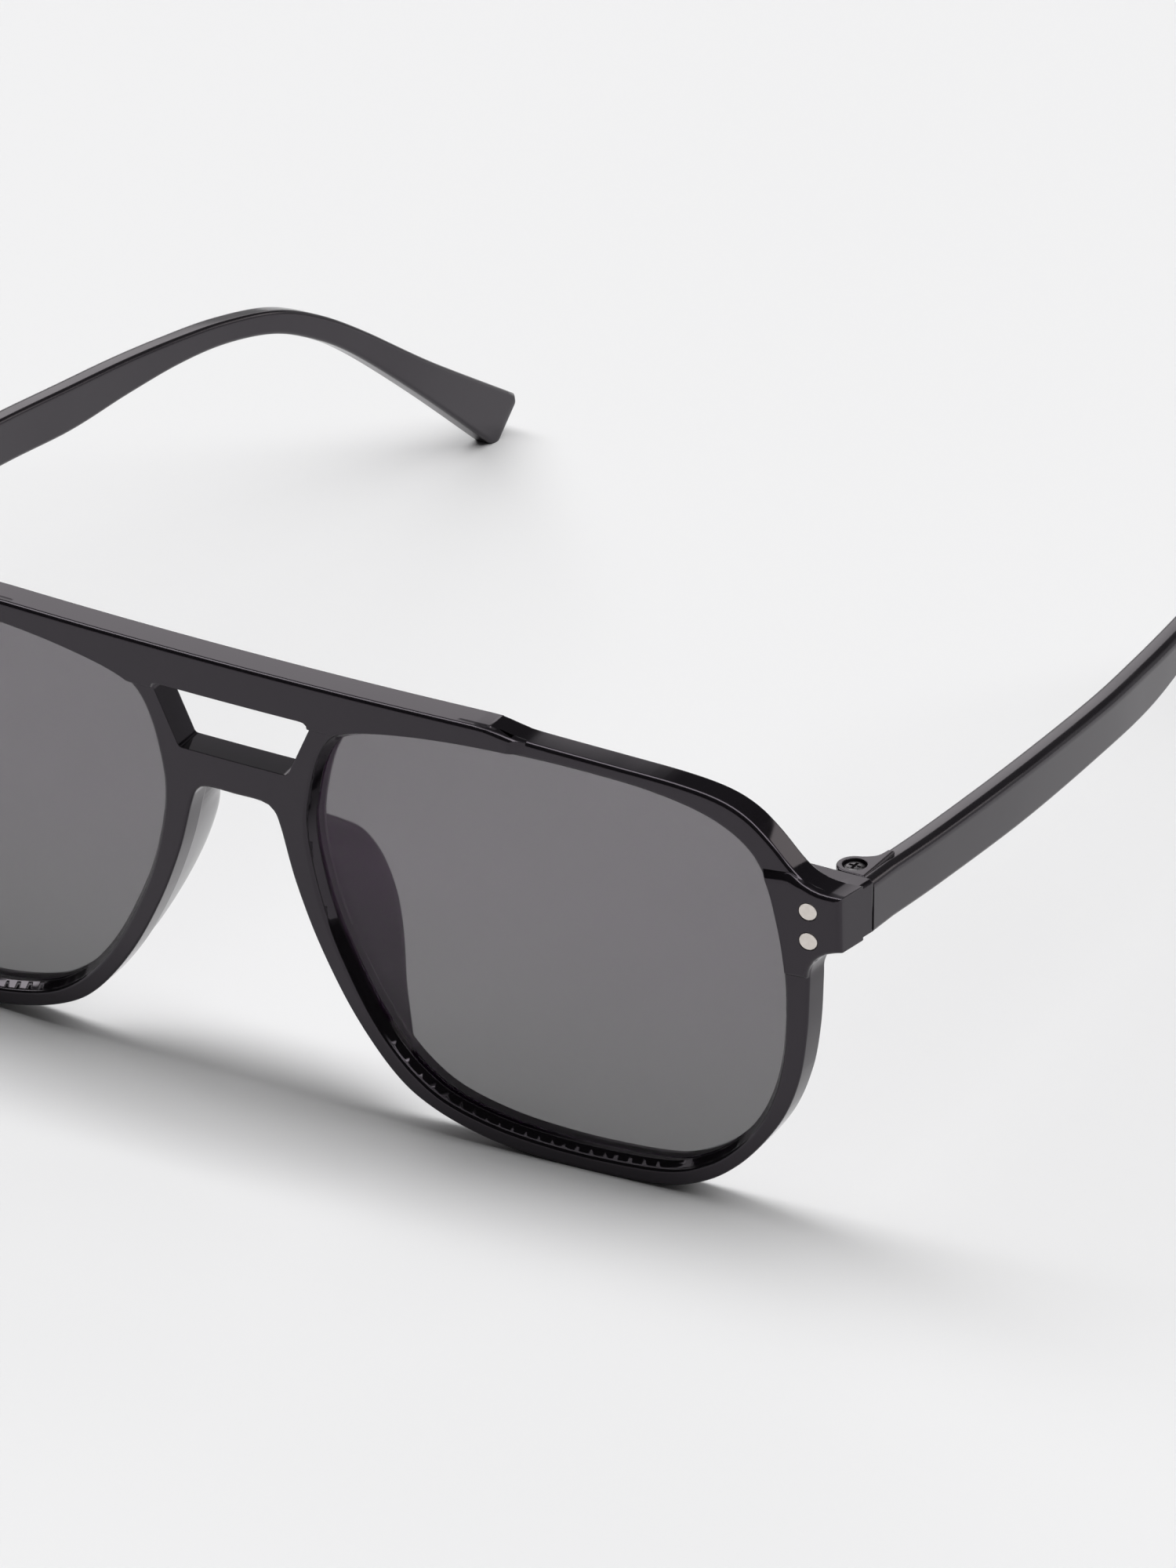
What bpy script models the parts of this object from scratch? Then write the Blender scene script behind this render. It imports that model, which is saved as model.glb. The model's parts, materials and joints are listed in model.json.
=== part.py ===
"""Navigator-style sunglasses: black injection-moulded front, two smoke lenses, folding temples.

The pair stands open on the floor, on the bottoms of its rims and the tips of its temples.
The wearer looks along -Y, so the wearer's left is +X. All named sizes are millimetres.
"""
import math

import bmesh
import bpy
from mathutils import Matrix, Vector

MM = 0.001

# Driving dimensions of the front, in the flat plane that is later wrapped and tilted
FRONT_THICKNESS = 3.2
PLATE_RISE = 0.6            # brow bar and end-piece plates stand proud of the rims
BROW_TOP = 49.6
BROW_BOTTOM = 44.4
PLATE_END = 34.4            # half-length of the raised brow bar
LUG_SIDE = 69.2             # half-width over the end pieces, at the front face
LUG_TOP = 38.5
LUG_BOTTOM = 32.2
LUG_LEDGE = 28.4
LUG_BLOCK_INNER = 62.6
RIM_BOTTOM = -0.45
WRAP = 0.872 * MM           # face-form curve: depth per half-width squared
TILT = math.radians(-2.25)  # the front leans forward over its own feet
LUG_FLARE = 0.19            # the end pieces widen towards the joint
FLARE_START = 64.0
FLARE_RUN = 5.0
LUG_CORNER = 0.35
PLATE_SLOPE = 1.6           # the brow bar's ends slope down to the rims
LUG_PLATE_SLOPE = 1.1       # the end-piece plate slopes up from the rim below it
EDGE_RADIUS = 0.5
PLATE_EDGE = 0.12           # first step of a plate's rounded edge
CUT_MARGIN = 1.0            # how far a cutter runs past the face it opens
BEND_STEP = 4.0             # spacing of the cuts that let a flat piece bend
FRONT_EASE = 0.25
REAR_EASE = 0.35

# Lens seat, measured back from the rim's front face
SEAT_DRAFT = 0.75
SEAT_FRONT = 1.30
SEAT_BACK = 2.75
SEAT_DEPTH = 0.50
SEAT_STEP = 0.01            # the seat's walls are square to the lens, within this
LENS_GAP = 0.20

# Bridge window
WINDOW_TOP_HALF = 9.5
WINDOW_BOTTOM_HALF = 6.4
WINDOW_TOP = 45.0
WINDOW_BOTTOM = 38.2
WINDOW_CORNERS = (1.0, 0.35)

# Hinges
AXIS_X = 66.9
AXIS_Y = 9.45
KNUCKLE_RADIUS = 1.9
JOINT_Y = 7.3
JOINT_GAP = 0.25
EAR_TOP = 38.75
EAR_THICKNESS = 1.15
EAR_BOTTOM = 32.5
HINGE_GAP = 0.25
WEB_OVERLAP = 0.6           # the knuckle's web sinks this far into the end piece
SCREW_RADIUS = 0.6
SCREW_HOLE_RADIUS = 0.8
HEAD_RADIUS = 1.1
HEAD_RECESS_RADIUS = 1.3
HEAD_HEIGHT = 0.6
HEAD_SINK = 0.15
INSERT_RADIUS = 1.15
INSERT_HEIGHT = 0.8
INSERT_GAP = 0.15
FLOOR_GAP = 0.1             # room between a pin, head or bush and the bottom of its hole
SLOT_ARM = 0.75
SLOT_HALF_WIDTH = 0.16
SLOT_DEPTH = 0.3

# Rivets
RIVET_X = 65.75
RIVET_HEIGHTS = (36.45, 33.0)
RIVET_RADIUS = 0.97
RIVET_DEPTH = 1.2
RIVET_CLEARANCE = 0.15
RIVET_PROUD = 0.02

# The pair is lifted so that its resting flats lie on the floor, at zero height, and moved
# so that the origin lies under the middle of its outline
FLAT_LEVEL = -0.30
LIFT = -FLAT_LEVEL
OUTLINE_MIDDLE = 72.85

# Half outline of the front, from the middle of the brow round to the arch over the nose.
# Each run is smooth; runs meet at the corners.
FRONT_RUNS = (
    ((0, BROW_TOP), (16, BROW_TOP), (32.6, BROW_TOP)),
    ((32.6, BROW_TOP), (34.2, 49.2), (35.8, 48.7)),
    ((35.8, 48.7), (44.0, 48.2), (51.0, 47.7), (55.6, 46.9), (58.7, 45.5), (61.2, 43.3),
     (63.4, 40.8), (65.1, 39.25), (66.9, 38.6), (LUG_SIDE, LUG_TOP)),
    ((LUG_SIDE, LUG_TOP), (LUG_SIDE, LUG_BOTTOM)),
    ((LUG_SIDE, LUG_BOTTOM), (67.6, 31.7), (66.2, 30.6), (65.5, 29.0), (65.4, 27.0),
     (65.1, 21.6), (64.3, 16.2), (62.7, 11.6), (60.3, 7.7), (57.3, 4.2), (53.8, 1.6),
     (49.3, 0.0), (42.0, RIM_BOTTOM), (35.0, -0.3), (28.4, 0.6), (22.4, 2.6), (18.1, 5.6),
     (13.5, 11.5), (9.7, 18.6), (7.0, 25.5), (5.4, 31.4), (4.6, 33.3), (3.2, 34.0), (0, 34.0)),
)
APERTURE = (
    (11.1, 43.0), (12.9, 44.5), (17.3, 45.7), (24.6, 46.7), (33.1, 47.1), (41.4, 46.95),
    (48.6, 46.3), (54.6, 44.8), (58.6, 42.4), (60.8, 39.1), (62.0, 34.6), (62.8, 29.3),
    (63.0, 23.9), (62.7, 18.6), (61.7, 13.8), (59.9, 9.6), (57.2, 6.1), (53.9, 3.5),
    (49.3, 1.7), (41.0, 1.2), (33.5, 1.5), (28.3, 2.3), (23.8, 3.7), (20.5, 5.8),
    (17.8, 8.5), (15.3, 11.9), (12.9, 16.3), (10.4, 22.1), (8.8, 28.4), (8.35, 33.0),
    (8.9, 37.0), (9.8, 40.4),
)
LUG_PLATE = (
    (58.0, 39.9), (63.6, 40.2), (65.1, 39.25), (66.9, 38.6), (LUG_SIDE, LUG_TOP),
    (LUG_SIDE, LUG_BOTTOM), (67.6, 31.7), (66.2, 30.6), (65.5, 29.2), (65.4, LUG_LEDGE),
    (58.0, LUG_LEDGE),
)

# Temple stations: distance back, outer face, middle height, height and pitch (degrees down)
TEMPLE_THICKNESS = 2.6
TEMPLE_STATIONS = (
    (11.9, 70.25, 35.45, 6.05, 3.0),
    (23.0, 70.35, 34.55, 6.00, 5.0),
    (41.0, 70.15, 33.30, 6.00, 4.5),
    (60.0, 69.20, 32.00, 5.55, 4.0),
    (72.0, 68.10, 31.20, 5.40, 3.0),
    (82.0, 67.00, 31.10, 4.35, 3.0),
    (91.0, 65.70, 30.90, 3.30, 6.0),
    (99.0, 64.45, 30.15, 2.80, 14.0),
    (107.0, 62.95, 28.45, 2.80, 27.0),
    (113.5, 61.65, 25.50, 2.85, 36.0),
    (120.5, 60.20, 21.00, 3.00, 40.0),
    (131.8, 57.90, 12.20, 4.15, 42.0),
    (145.5, 56.10, 1.85, 6.80, 50.0),
)


def remove_everything():
    for existing in list(bpy.data.objects):
        bpy.data.objects.remove(existing, do_unlink=True)


def make_material(name, colour, roughness, metallic=0.0, transmission=0.0, ior=1.5):
    material = bpy.data.materials.new(name)
    material.use_nodes = True
    shader = material.node_tree.nodes["Principled BSDF"]
    shader.inputs["Base Color"].default_value = (*colour, 1.0)
    shader.inputs["Roughness"].default_value = roughness
    shader.inputs["Metallic"].default_value = metallic
    shader.inputs["Transmission Weight"].default_value = transmission
    shader.inputs["IOR"].default_value = ior
    material.diffuse_color = (*colour, 1.0)
    return material


def make_collection(name, hidden=False):
    collection = bpy.data.collections.new(name)
    bpy.context.scene.collection.children.link(collection)
    collection.hide_render = hidden
    return collection


def add_object(name, mesh_data, collection, material=None):
    obj = bpy.data.objects.new(name, mesh_data)
    collection.objects.link(obj)
    if material:
        obj.data.materials.clear()
        obj.data.materials.append(material)
    return obj


# Outlines

def smooth_run(points, steps, closed=False):
    """Points along a Catmull-Rom curve through a run of (u, w) points."""
    count = len(points)
    if count == 2 and not closed:
        return [Vector(points[0]), Vector(points[1])]
    result = []
    spans = count if closed else count - 1
    for index in range(spans):
        before = index - 1 if closed or index > 0 else index
        after = index + 2 if closed or index + 2 < count else index + 1
        p0, p1, p2, p3 = (Vector(points[k % count]) for k in (before, index, index + 1, after))
        for step in range(steps):
            t = step / steps
            result.append(0.5 * (2 * p1 + (p2 - p0) * t
                                 + (2 * p0 - 5 * p1 + 4 * p2 - p3) * t ** 2
                                 + (3 * p1 - p0 - 3 * p2 + p3) * t ** 3))
    if not closed:
        result.append(Vector(points[-1]))
    return result


def front_outline(steps=3):
    half = []
    for run in FRONT_RUNS:
        half.extend(smooth_run(run, steps)[:-1])
    half.append(Vector(FRONT_RUNS[-1][-1]))
    other = [Vector((-p.x, p.y)) for p in reversed(half[1:-1])]
    return half + other


def signed_area(outline):
    following = outline[1:] + outline[:1]
    return 0.5 * sum(a.x * b.y - b.x * a.y for a, b in zip(outline, following))


def inset(outline, distance):
    """Move every point of a closed outline inwards by a distance, along its own normal."""
    direction = 1.0 if signed_area(outline) > 0 else -1.0
    moved = []
    count = len(outline)
    for index, point in enumerate(outline):
        before = (point - outline[index - 1]).normalized()
        after = (outline[(index + 1) % count] - point).normalized()
        normal_before = Vector((-before.y, before.x))
        normal_after = Vector((-after.y, after.x))
        normal = (normal_before + normal_after).normalized()
        stretch = min(1.0 / max(normal.dot(normal_after), 0.5), 1.5)
        moved.append(point + normal * (direction * distance * stretch))
    return moved


def mirrored(outline):
    return [Vector((-p.x, p.y)) for p in reversed(outline)]


# Solids

def loft(name, sections, collection, material=None):
    """Closed solid through sections that have the same number of points, in millimetres."""
    mesh = bmesh.new()
    rings = [[mesh.verts.new(Vector(p) * MM) for p in section] for section in sections]
    for ring, following in zip(rings, rings[1:]):
        count = len(ring)
        for index in range(count):
            after = (index + 1) % count
            mesh.faces.new((ring[index], ring[after], following[after], following[index]))
    mesh.faces.new(list(reversed(rings[0])))
    mesh.faces.new(rings[-1])
    bmesh.ops.recalc_face_normals(mesh, faces=mesh.faces)
    data = bpy.data.meshes.new(name)
    mesh.to_mesh(data)
    mesh.free()
    return add_object(name, data, collection, material)


def plate_sections(levels):
    """Sections of a flat piece: each level is an outline and its depth behind the rim face."""
    return [[(p.x, depth, p.y) for p in outline] for outline, depth in levels]


def rounded_levels(outline, front, back, front_radius, back_radius, steps=3):
    levels = []
    for step in range(steps + 1):
        angle = math.pi / 2 * step / steps
        levels.append((inset(outline, front_radius * (1 - math.sin(angle))),
                       front + front_radius * (1 - math.cos(angle))))
    for step in range(steps + 1):
        angle = math.pi / 2 * (1 - step / steps)
        levels.append((inset(outline, back_radius * (1 - math.sin(angle))),
                       back - back_radius * (1 - math.cos(angle))))
    return levels


def cylinder(name, radius, low, high, centre, collection, sides=32, material=None):
    """Upright cylinder between two heights, centred at (x, y), in millimetres."""
    mesh = bmesh.new()
    bmesh.ops.create_cone(mesh, cap_ends=True, segments=sides, radius1=radius * MM,
                          radius2=radius * MM, depth=(high - low) * MM)
    place = Matrix.Translation(Vector((centre[0], centre[1], (low + high) / 2)) * MM)
    bmesh.ops.transform(mesh, matrix=place, verts=mesh.verts)
    data = bpy.data.meshes.new(name)
    mesh.to_mesh(data)
    mesh.free()
    return add_object(name, data, collection, material)


def block(name, low, high, collection):
    """Box between two corners, in millimetres."""
    mesh = bmesh.new()
    bmesh.ops.create_cube(mesh, size=1.0)
    size = Vector(high) - Vector(low)
    middle = (Vector(high) + Vector(low)) / 2
    place = Matrix.Translation(middle * MM) @ Matrix.Diagonal((*(size * MM), 1.0))
    bmesh.ops.transform(mesh, matrix=place, verts=mesh.verts)
    data = bpy.data.meshes.new(name)
    mesh.to_mesh(data)
    mesh.free()
    return add_object(name, data, collection)


def combine(target, others, operation):
    """Apply exact Boolean operations one after another and drop the used pieces."""
    for other in others:
        modifier = target.modifiers.new(operation, "BOOLEAN")
        modifier.operation = operation
        modifier.solver = "EXACT"
        modifier.object = other
        bpy.context.view_layer.update()
        graph = bpy.context.evaluated_depsgraph_get()
        result = bpy.data.meshes.new_from_object(target.evaluated_get(graph))
        target.modifiers.clear()
        target.data = result
        bpy.data.objects.remove(other, do_unlink=True)
    weld(target)
    return target


def weld(obj, distance=1e-6):
    mesh = bmesh.new()
    mesh.from_mesh(obj.data)
    bmesh.ops.remove_doubles(mesh, verts=mesh.verts, dist=distance)
    bmesh.ops.dissolve_degenerate(mesh, edges=mesh.edges, dist=distance)
    mesh.to_mesh(obj.data)
    mesh.free()


def slice_across(obj, spacing, limit):
    """Cut faces at even steps along X so that a later bend follows a smooth curve."""
    mesh = bmesh.new()
    mesh.from_mesh(obj.data)
    count = int(limit / spacing)
    for index in range(-count, count + 1):
        geometry = mesh.verts[:] + mesh.edges[:] + mesh.faces[:]
        bmesh.ops.bisect_plane(mesh, geom=geometry, dist=1e-7,
                               plane_co=(index * spacing * MM, 0, 0), plane_no=(1, 0, 0))
    mesh.to_mesh(obj.data)
    mesh.free()


def wrapped(point):
    """Place of a flat-plane point (u, depth, w), in millimetres, on the finished front."""
    u, depth, w = point
    share = min(max((abs(u) - FLARE_START) / FLARE_RUN, 0.0), 1.0)
    u += math.copysign(LUG_FLARE * max(depth + PLATE_RISE, 0.0) * share, u)
    back = depth + WRAP * u * u
    return Vector((u, back * math.cos(TILT) + w * math.sin(TILT),
                   w * math.cos(TILT) - back * math.sin(TILT)))


def wrap_object(obj):
    for vertex in obj.data.vertices:
        vertex.co = wrapped(vertex.co / MM) * MM


def mirror_object(obj, name, collection):
    data = obj.data.copy()
    data.transform(Matrix.Diagonal((-1.0, 1.0, 1.0, 1.0)))
    data.flip_normals()
    return add_object(name, data, collection)


# Front

def aperture_levels(outline):
    """The lens opening: eased edge, drafted wall, lens seat and the lip behind it."""
    eased = inset(outline, -FRONT_EASE)
    throat = inset(outline, SEAT_DRAFT)
    seat = inset(outline, SEAT_DRAFT - SEAT_DEPTH)
    return (
        (eased, -PLATE_RISE - CUT_MARGIN),
        (eased, -PLATE_RISE),
        (outline, FRONT_EASE),
        (throat, SEAT_FRONT),
        (seat, SEAT_FRONT + SEAT_STEP),
        (seat, SEAT_BACK - SEAT_STEP),
        (throat, SEAT_BACK),
        (throat, FRONT_THICKNESS + CUT_MARGIN),
    )


def brow_plate_levels():
    def outline(half_length, top, bottom):
        return [Vector(p) for p in ((-half_length, top), (-half_length, bottom),
                                    (half_length, bottom), (half_length, top))]
    face_half = PLATE_END - PLATE_SLOPE
    foot_half = face_half + EDGE_RADIUS
    return (
        (outline(face_half - EDGE_RADIUS, BROW_TOP - EDGE_RADIUS, BROW_BOTTOM + PLATE_EDGE),
         -PLATE_RISE),
        (outline(face_half, BROW_TOP - PLATE_EDGE, BROW_BOTTOM), -PLATE_RISE + PLATE_EDGE),
        (outline(foot_half, BROW_TOP, BROW_BOTTOM), -PLATE_RISE + EDGE_RADIUS),
        (outline(foot_half, BROW_TOP, BROW_BOTTOM), PLATE_RISE),
    )


def lug_plate_levels():
    outline = [Vector(p) for p in LUG_PLATE]
    face = [p - Vector((0, LUG_PLATE_SLOPE)) if p.y > LUG_PLATE[0][1] - EDGE_RADIUS and p.x < FLARE_START
            else p for p in outline]
    return (
        (inset(face, EDGE_RADIUS - PLATE_EDGE), -PLATE_RISE),
        (inset(face, PLATE_EDGE), -PLATE_RISE + PLATE_EDGE),
        (outline, -PLATE_RISE + EDGE_RADIUS),
        (outline, PLATE_RISE),
    )


def lug_block_levels():
    outline = [Vector(p) for p in (
        (LUG_BLOCK_INNER, LUG_TOP), (LUG_SIDE - LUG_CORNER, LUG_TOP),
        (LUG_SIDE, LUG_TOP - LUG_CORNER), (LUG_SIDE, LUG_BOTTOM + LUG_CORNER),
        (LUG_SIDE - LUG_CORNER, LUG_BOTTOM), (LUG_BLOCK_INNER + 1.0, LUG_BOTTOM))]
    return ((outline, EDGE_RADIUS), (outline, JOINT_Y))


def window_levels():
    corners = ((-WINDOW_TOP_HALF, WINDOW_TOP), (-WINDOW_BOTTOM_HALF, WINDOW_BOTTOM),
               (WINDOW_BOTTOM_HALF, WINDOW_BOTTOM), (WINDOW_TOP_HALF, WINDOW_TOP))
    outline = []
    for index, corner in enumerate(corners):
        here = Vector(corner)
        cut = WINDOW_CORNERS[0] if here.y > BROW_BOTTOM else WINDOW_CORNERS[1]
        for neighbour in (corners[index - 1], corners[(index + 1) % 4]):
            outline.append(here + (Vector(neighbour) - here).normalized() * cut)
    return ((outline, -PLATE_RISE - CUT_MARGIN), (outline, FRONT_THICKNESS + CUT_MARGIN))


def make_front(parts, tools, material):
    outline = front_outline()
    front = loft("front_frame", plate_sections(rounded_levels(
        outline, 0.0, FRONT_THICKNESS, FRONT_EASE, REAR_EASE)), parts, material)
    additions = [loft("brow_plate", plate_sections(brow_plate_levels()), tools)]
    for side in (1, -1):
        for name, levels in (("lug_plate", lug_plate_levels()), ("lug_block", lug_block_levels())):
            if side < 0:
                levels = [(mirrored(shape), depth) for shape, depth in levels]
            additions.append(loft(name, plate_sections(levels), tools))
    combine(front, additions, "UNION")
    aperture = smooth_run(APERTURE, 3, closed=True)
    cutters = [loft("aperture", plate_sections(aperture_levels(shape)), tools)
               for shape in (aperture, mirrored(aperture))]
    cutters.append(loft("window", plate_sections(window_levels()), tools))
    combine(front, cutters, "DIFFERENCE")
    slice_across(front, BEND_STEP, LUG_SIDE)
    wrap_object(front)
    combine(front, hinge_cutters(tools), "DIFFERENCE")
    combine(front, [frame_knuckle(side, tools) for side in (1, -1)], "UNION")
    combine(front, [cylinder("pin_hole", SCREW_HOLE_RADIUS, EAR_BOTTOM, EAR_TOP,
                             (side * AXIS_X, AXIS_Y), tools) for side in (1, -1)], "DIFFERENCE")
    combine(front, [rivet_solid(side, height, RIVET_CLEARANCE, "rivet_hole", tools)
                    for side in (1, -1) for height in RIVET_HEIGHTS], "DIFFERENCE")
    return front


def knuckle_span():
    low = EAR_BOTTOM + EAR_THICKNESS + HINGE_GAP
    high = EAR_TOP - EAR_THICKNESS - HINGE_GAP
    return low, high


def hinge_cutters(tools):
    """Square the end pieces off at the joint, and level the feet of the rims."""
    cutters = [block("resting_flat", (-80.0, -10.0, -5.0), (80.0, 10.0, FLAT_LEVEL), tools)]
    for side in (1, -1):
        inner, outer = sorted((side * 60.0, side * 75.0))
        cutters.append(block("joint_face", (inner, JOINT_Y, 25.0), (outer, 20.0, 45.0), tools))
    return cutters


def frame_knuckle(side, tools):
    """Barrel round the hinge axis with the web that carries it from the end piece."""
    low, high = knuckle_span()
    outline = []
    sides = 24
    for step in range(sides // 2 + 1):
        angle = math.pi * step / (sides // 2)
        outline.append(Vector((KNUCKLE_RADIUS * math.cos(angle), KNUCKLE_RADIUS * math.sin(angle))))
    reach = JOINT_Y - AXIS_Y - WEB_OVERLAP
    outline += [Vector((-KNUCKLE_RADIUS, reach)), Vector((KNUCKLE_RADIUS, reach))]
    sections = [[(side * AXIS_X + p.x, AXIS_Y + p.y, height) for p in outline]
                for height in (low, high)]
    return loft("frame_knuckle", sections, tools)


# Rivets, lenses and pads

def rivet_solid(side, height, clearance, name, collection, material=None):
    """Short pin, square to the front face of the end piece."""
    sides = 24
    radius = RIVET_RADIUS + clearance
    proud = -PLATE_RISE - (RIVET_PROUD if clearance == 0 else CUT_MARGIN)
    back = -PLATE_RISE + RIVET_DEPTH + clearance
    sections = []
    for depth in (proud, back):
        ring = []
        for step in range(sides):
            angle = 2 * math.pi * step / sides
            ring.append((side * RIVET_X + radius * math.cos(angle), depth,
                         height + radius * math.sin(angle)))
        sections.append([wrapped(p) for p in ring])
    return loft(name, sections, collection, material)


def make_rivets(parts, material):
    for side, label in ((1, "left"), (-1, "right")):
        for height, level in zip(RIVET_HEIGHTS, ("upper", "lower")):
            rivet_solid(side, height, 0.0, f"rivet_{label}_{level}", parts, material)


def make_lens(side, label, parts, material):
    outline = inset(smooth_run(APERTURE, 3, closed=True), SEAT_DRAFT - SEAT_DEPTH + LENS_GAP)
    if side < 0:
        outline = mirrored(outline)
    levels = ((outline, SEAT_FRONT + LENS_GAP), (outline, SEAT_BACK - LENS_GAP))
    lens = loft(f"lens_{label}", plate_sections(levels), parts, material)
    slice_across(lens, BEND_STEP, LUG_SIDE)
    wrap_object(lens)
    return lens


# Nose pad stations: height, reach behind the rim, opening away from the nose, thickness
PAD_STATIONS = (
    (31.6, 1.0, 0.0, 1.0), (30.6, 3.0, 0.1, 1.2), (29.2, 5.0, 0.6, 1.4), (27.2, 7.2, 1.3, 1.5),
    (24.0, 8.5, 1.55, 1.6), (20.0, 8.5, 1.5, 1.6), (16.0, 7.1, 1.15, 1.5), (12.0, 4.5, 0.65, 1.4),
    (9.0, 2.5, 0.3, 1.2), (7.0, 1.0, 0.0, 1.0),
)
PAD_GAP = 0.1


def rim_edge_at(height):
    """Half-width of the rim's nose edge at a height."""
    run = smooth_run(FRONT_RUNS[-1], 6)
    below = [p for p in run if p.x < 30]
    nearest = sorted(below, key=lambda p: abs(p.y - height))[:2]
    a, b = sorted(nearest, key=lambda p: p.y)
    blend = 0.0 if b.y == a.y else (height - a.y) / (b.y - a.y)
    return a.x + (b.x - a.x) * min(max(blend, 0.0), 1.0)


def make_nose_pad(side, label, parts, material):
    """Fin glued to the back of the rim beside the nose, opening towards the wearer."""
    sections = []
    for height, reach, opening, thick in smooth_stations(PAD_STATIONS, 2):
        edge = rim_edge_at(height) + REAR_EASE
        start = FRONT_THICKNESS + PAD_GAP
        tip = edge + opening
        profile = (
            (edge, start), (edge + opening * 0.40, start + reach * 0.5),
            (edge + opening * 0.85, start + reach * 0.9), (tip + thick * 0.3, start + reach),
            (tip + thick * 0.75, start + reach * 0.97), (tip + thick, start + reach * 0.85),
            (edge + opening * 0.5 + thick * 1.1, start + reach * 0.4), (edge + thick * 1.2, start),
        )
        sections.append([wrapped((side * u, depth, height)) for u, depth in profile])
    return loft(f"nose_pad_{label}", sections, parts, material)


# Temples and hinges

def temple_section(station):
    """Rounded bar section, with a broad easing along its upper outer edge."""
    back, outer, middle, height, pitch = station
    inner = outer - TEMPLE_THICKNESS
    half = height / 2
    big = min(1.0, half * 0.6)
    small = min(0.55, half * 0.4)
    shape = []
    corners = ((outer, half, big, 0), (inner, half, small, 90), (inner, -half, small, 180),
               (outer, -half, small, 270))
    for x, z, radius, start in corners:
        centre_x = x - math.copysign(radius, x - (outer + inner) / 2)
        centre_z = z - math.copysign(radius, z)
        for step in range(4):
            angle = math.radians(start + 30 * step)
            shape.append((centre_x + radius * math.cos(angle), centre_z + radius * math.sin(angle)))
    lean = math.radians(pitch)
    return [(x, back + z * math.sin(lean), middle + z * math.cos(lean)) for x, z in shape]


def smooth_stations(stations, steps):
    """More stations on a smooth curve through the given ones."""
    padded = (stations[0],) + tuple(stations) + (stations[-1],)
    result = []
    for p0, p1, p2, p3 in zip(padded, padded[1:], padded[2:], padded[3:]):
        for step in range(steps):
            t = step / steps
            result.append(tuple(0.5 * (2 * b + (c - a) * t + (2 * a - 5 * b + 4 * c - d) * t ** 2
                                       + (3 * b - a - 3 * c + d) * t ** 3)
                                for a, b, c, d in zip(p0, p1, p2, p3)))
    result.append(stations[-1])
    return result


def temple_end_cap(station):
    """Rounded end of the temple tip."""
    back, outer, middle, height, pitch = station
    lean = math.radians(pitch)
    caps = []
    for share, shrink in ((0.55, 0.30), (0.95, 0.75)):
        along = 0.9 * share
        ring = temple_section((back + along * math.cos(lean), outer - 0.2 * share,
                               middle - along * math.sin(lean), height, pitch))
        centre = Vector([sum(axis) / len(ring) for axis in zip(*ring)])
        caps.append([centre + (Vector(p) - centre) * (1 - shrink * 0.25) for p in ring])
    return caps


def ear_outline():
    """Plan of a hinge ear: round nose on the axis, running back into the temple."""
    outline = []
    steps = 10
    for step in range(steps + 1):
        angle = math.radians(-90 - 150 * step / steps)
        outline.append((AXIS_X + KNUCKLE_RADIUS * math.cos(angle),
                        AXIS_Y + KNUCKLE_RADIUS * math.sin(angle)))
    outline += [(67.0, 11.6), (67.9, 12.4), (68.3, 14.0), (69.6, 14.0), (70.2, JOINT_Y + JOINT_GAP)]
    return outline


def make_temple(parts, tools, material):
    stations = smooth_stations(TEMPLE_STATIONS, 3)
    sections = [temple_section(station) for station in stations]
    sections += temple_end_cap(TEMPLE_STATIONS[-1])
    temple = loft("temple_left", sections, parts, material)
    upper = ((EAR_TOP - EAR_THICKNESS, 0.0), (EAR_TOP - 0.2, 0.0), (EAR_TOP, -0.2))
    lower = ((EAR_BOTTOM, 0.0), (EAR_BOTTOM + EAR_THICKNESS, 0.0))
    additions = []
    for name, levels in (("upper_ear", upper), ("lower_ear", lower)):
        outline = [Vector(p) for p in ear_outline()]
        additions.append(loft(name, [[(p.x, p.y, height) for p in inset(outline, -shift)]
                                     for height, shift in levels], tools))
    skin_inner = AXIS_X + KNUCKLE_RADIUS + HINGE_GAP
    skin = [(skin_inner, JOINT_Y + JOINT_GAP), (70.2, JOINT_Y + JOINT_GAP), (70.25, 13.0),
            (68.6, 13.0), (68.2, 11.9), (skin_inner - 0.1, 11.0)]
    additions.append(loft("skin", [[(x, y, z) for x, y in skin]
                                   for z in (EAR_BOTTOM, EAR_TOP - 0.8)], tools))
    combine(temple, additions, "UNION")
    low, high = knuckle_span()
    holes = [
        cylinder("barrel_room", KNUCKLE_RADIUS + HINGE_GAP, low - HINGE_GAP, high + HINGE_GAP,
                 (AXIS_X, AXIS_Y), tools),
        cylinder("pin_room", SCREW_HOLE_RADIUS, EAR_BOTTOM - CUT_MARGIN, EAR_TOP + CUT_MARGIN,
                 (AXIS_X, AXIS_Y), tools),
        cylinder("head_room", HEAD_RECESS_RADIUS, EAR_TOP - HEAD_SINK - HEAD_HEIGHT - FLOOR_GAP,
                 EAR_TOP + CUT_MARGIN, (AXIS_X, AXIS_Y), tools),
        cylinder("insert_room", INSERT_RADIUS + INSERT_GAP, EAR_BOTTOM - CUT_MARGIN,
                 EAR_BOTTOM + INSERT_HEIGHT + FLOOR_GAP, (AXIS_X, AXIS_Y), tools),
        block("resting_flat", (40.0, 130.0, -5.0), (70.0, 160.0, FLAT_LEVEL), tools),
    ]
    combine(temple, holes, "DIFFERENCE")
    return temple


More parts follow.
